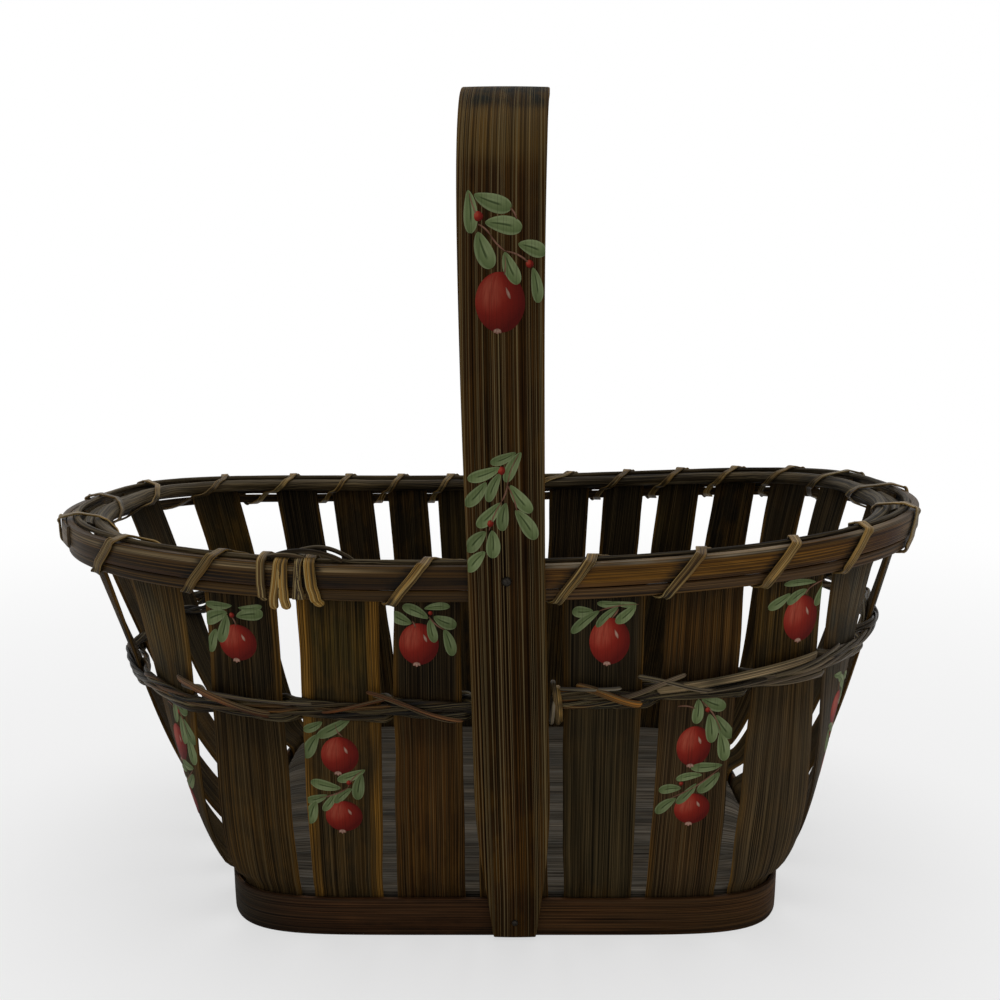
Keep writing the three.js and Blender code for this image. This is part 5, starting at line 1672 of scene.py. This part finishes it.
DOUBLE_SPRIGS[0] = repeated(DOUBLE_SPRIGS[6], 0.85, 1.2, -7)
DOUBLE_SPRIGS[8] = repeated(DOUBLE_SPRIGS[2], -0.85, 1.6, 7)
SPRIGS = {**{number: [row] for number, row in SINGLE_SPRIGS.items()}, **DOUBLE_SPRIGS}
for number, rows in SPRIGS.items():
    light = LEFT_PICK if number <= FRONT else RIGHT_PICK
    parts = [part for row in rows for part in sprig(stave_face(number), GRAIN_APART * number, light, *row)]
    make_piece(f"paint_front_{number + 1}", parts, PAINTS)
print("staves with paint:", len(SPRIGS))

# %% Sprigs on the handle
HANDLE_SHIFT, APPLE_PICK, LEAF_PICK = 9.0, 0.22, 0.5
HANDLE_LEAVES = [
    (-10.8, 273.5, -10, 259, 4.7), (-8.8, 272, 3.4, 267.5, 6.3), (-5.2, 262.5, 6.7, 260.4, 6.2),
    (-7.5, 259.5, -3, 247.8, 6.2), (5.5, 255.5, 14.4, 252.4, 5.4), (1.2, 253, 5.6, 242.8, 5.0),
    (10.2, 248, 11.8, 236.8, 3.9)]
HANDLE_TWIGS = [(-7.5, 262, -3.5, 258.5, 0.4), (-3.5, 258.5, 1.4, 253.2, -0.4), (1.4, 253.2, 9, 249.4, 0.8),
                (2.8, 267.5, 5, 263.6, 0.4), (1.2, 252, 1, 245.6, 0.3), (-7, 263, -10.5, 272.5, 0.3)]
SPRAY_LEAVES = [
    (4, 188.5, -4.5, 185, 3.4), (5.8, 188.5, 0.5, 178.5, 4.0), (-1.2, 183.5, -12.2, 179.5, 4.1),
    (-1.2, 181.5, -5.5, 171.8, 3.8), (-6, 178.5, -13.2, 170.5, 4.5), (2, 177.5, 9, 168.3, 4.8),
    (-1.5, 171.5, -9.5, 163.3, 4.6), (0.5, 171.5, -1, 161.8, 4.2), (3.5, 169, 10, 158.8, 5.2),
    (-6.5, 161.5, -12.8, 154.3, 4.9), (-4.5, 162, -4.8, 152.3, 4.9), (-7, 154.5, -13, 147.3, 4.6)]
SPRAY_TWIGS = [(5, 188, 1, 177.5, -0.6), (1, 177.5, -1, 172, 0.3), (1, 177.5, 4, 168.6, 0.5),
               (-1, 172, -5.4, 162, -0.5)]
handle_paint = sprig(handle_face, HANDLE_SHIFT, APPLE_PICK, (-0.4, 237, 8.2, 9.7), [])
handle_paint += sprig(handle_face, HANDLE_SHIFT, LEAF_PICK, None, HANDLE_LEAVES,
                      [(-7.5, 264.6, 1.7), (9.2, 249.2, 1.3)], HANDLE_TWIGS)
handle_paint += sprig(handle_face, HANDLE_SHIFT, LEAF_PICK, None, SPRAY_LEAVES,
                      [(-0.8, 182.4, 1.4), (-5, 164.4, 1.2)], SPRAY_TWIGS)
make_piece("paint_handle", handle_paint, PAINTS)
print("painted", sum(len(rows) for rows in SPRIGS.values()) + 1, "apples")

# %% [markdown]
# ## Nails
# A small domed nail holds the strip to each side of the rim, and a smaller tack to the foot band.
# The iron has dulled to grey-brown. Each is a small profile turned about the way out of the wall.
# A flattened ball would lack the rim that catches the light.

# %% Nails
NAIL_PROFILE = np.array([(0.04, 0.9), (0.35, 0.86), (0.62, 0.7), (0.85, 0.42), (1.0, 0.1),
                         (1.0, -0.12), (0.45, -0.2), (0.45, -2.4), (0.04, -2.5)])
NAIL_DROP, NAIL_HEAD = 4.4, 3.4
TACK_HEIGHT, TACK_HEAD = 7.5, 2.4
NAIL_SEAT, NAIL_SIDES = 0.25, 24


def iron():
    """Dull iron: metal with a brown oxide film in spots, so half of it barely shines."""
    material, tree = new_material("dull iron nail")
    place = add(tree, "TexCoord").outputs["Object"]
    spots = add(tree, "TexNoise", {"Vector": place, "Scale": 1500.0, "Detail": 3.0})
    film = add(tree, "MapRange", spots, 0.4, 0.65)
    colour = add(tree, "Mix", film, rgba("#2c2822"), rgba("#1c1711"), **MIX)
    rough = add(tree, "MapRange", spots, 0, 1, 0.35, 0.6)
    shader = add(tree, "BsdfPrincipled", {"Base Color": colour, "Roughness": rough, "Metallic": 0.8})
    add(tree, "OutputMaterial", shader)
    return material


IRON = iron()


def make_nail(seat, z, head):
    """The profile, radius and height in head radii, turned about the way out of the wall."""
    face = wall(seat[1], seat[0], z, handle_off(seat, z) + HANDLE_HALF)
    way = unit(face - wall(seat[1], seat[0], z, 0.0))
    side = unit(np.cross(way, UP))
    up = np.cross(side, way)
    turn = np.linspace(0, 2 * np.pi, NAIL_SIDES + 1)[:-1]
    ring = np.cos(turn)[:, None] * side + np.sin(turn)[:, None] * up
    radius, height = head / 2 * NAIL_PROFILE.T
    points = face + ring[None] * radius[:, None, None] + way * (height + NAIL_SEAT)[:, None, None]
    run = np.broadcast_to(np.linspace(0, 10, NAIL_SIDES + 1), (len(radius), NAIL_SIDES + 1))
    return skin(points, grain_grid(height, run))


for side, seat in (("front", FRONT_SEAT), ("back", BACK_SEAT)):
    top = top_at(seat[0])
    make_piece(f"rim_nail_{side}", [make_nail(seat, top - NAIL_DROP, NAIL_HEAD)], [IRON],
               [f"handle_nail_{side}"])
    make_piece(f"foot_tack_head_{side}", [make_nail(seat, TACK_HEIGHT, TACK_HEAD)], [IRON],
               [f"foot_tack_{side}"])
print("nail heads of", NAIL_HEAD, "and", TACK_HEAD, "mm")

# %% [markdown]
# ## Floor and light
# A pale floor and a soft, even light from large lamps let a colour show about as it is written.
# The floor keeps the basket's shadow near it and turns to plain white further out, by its own
# coordinates, so that no horizon shows against the white backdrop.

# %% Studio floor
FLOOR_REACH = 4


def studio_white():
    """A matte floor, mixed with plain white for the camera: most of it by the basket, and all
    of it from 0.9 metres out."""
    material, tree = new_material("pale studio floor")
    matte = add(tree, "BsdfDiffuse", (0.86, 0.86, 0.86, 1))
    white = add(tree, "Emission", (1, 1, 1, 1), 1.0)
    place = add(tree, "TexCoord").outputs["Object"]
    away = add(tree, "VectorMath", place, operation="LENGTH").outputs["Value"]
    far = add(tree, "MapRange", away, 0.25, 0.9, 0.6, 1.0, interpolation_type="SMOOTHSTEP")
    path = add(tree, "LightPath")
    seen = add(tree, "Math", path.outputs["Is Camera Ray"], path.outputs["Is Transmission Ray"],
               operation="MAXIMUM")
    share = add(tree, "Math", seen, far, operation="MULTIPLY")
    blend = add(tree, "MixShader", share, matte, white)
    add(tree, "OutputMaterial", blend)
    return material


floor_mesh = bpy.data.meshes.new("studio_floor")
floor_corners = [(x * FLOOR_REACH, y * FLOOR_REACH, 0) for x, y in ((-1, -1), (1, -1), (1, 1), (-1, 1))]
floor_mesh.from_pydata(floor_corners, [], [(0, 1, 2, 3)])
floor_mesh.materials.append(studio_white())
floor = bpy.data.objects.new("studio_floor", floor_mesh)
bpy.context.scene.collection.objects.link(floor)
print("floor of", 2 * FLOOR_REACH, "metres")

# %% World and lamps
world = bpy.data.worlds.new("studio")
world.use_nodes = True
bpy.context.scene.world = world
sky = world.node_tree
sky.nodes.clear()
ambient = add(sky, "Background", (1, 1, 1, 1), 0.5)
plain = add(sky, "Background", (1, 1, 1, 1), 1.0)
ray = add(sky, "LightPath")
direct = add(sky, "Math", ray.outputs["Is Camera Ray"], ray.outputs["Is Transmission Ray"],
             operation="MAXIMUM")
seen = add(sky, "Math", direct, ray.outputs["Is Glossy Ray"], operation="MAXIMUM")
backdrop = add(sky, "MixShader", seen, ambient, plain)
add(sky, "OutputWorld", backdrop)


def lamp(name, place, height, size, power):
    """A round area lamp of size metres and power watts that looks at the basket's middle line,
    at a height. Its beam is its own -z, so it is tilted by the way's angle from straight down."""
    data = bpy.data.lights.new(name, "AREA")
    data.shape = "DISK"
    data.size, data.energy = size, power
    light = bpy.data.objects.new(name, data)
    light.location = place
    way = np.array([0, 0, height]) - place
    yaw, tilt = math.atan2(way[1], way[0]), math.acos(way[2] / np.linalg.norm(way))
    light.rotation_euler = (tilt - math.pi, 0, yaw - math.pi / 2)
    bpy.context.scene.collection.objects.link(light)


lamp("key softbox", (-0.9, -1.5, 1.7), 0.15, 1.4, 26)
lamp("fill softbox", (1.6, -1.1, 0.9), 0.15, 1.4, 14)
lamp("top softbox", (0.1, 0.4, 2.0), 0.1, 1.6, 18)
bpy.context.scene.view_settings.view_transform = "Standard"
print("lamps:", len(bpy.data.lights))
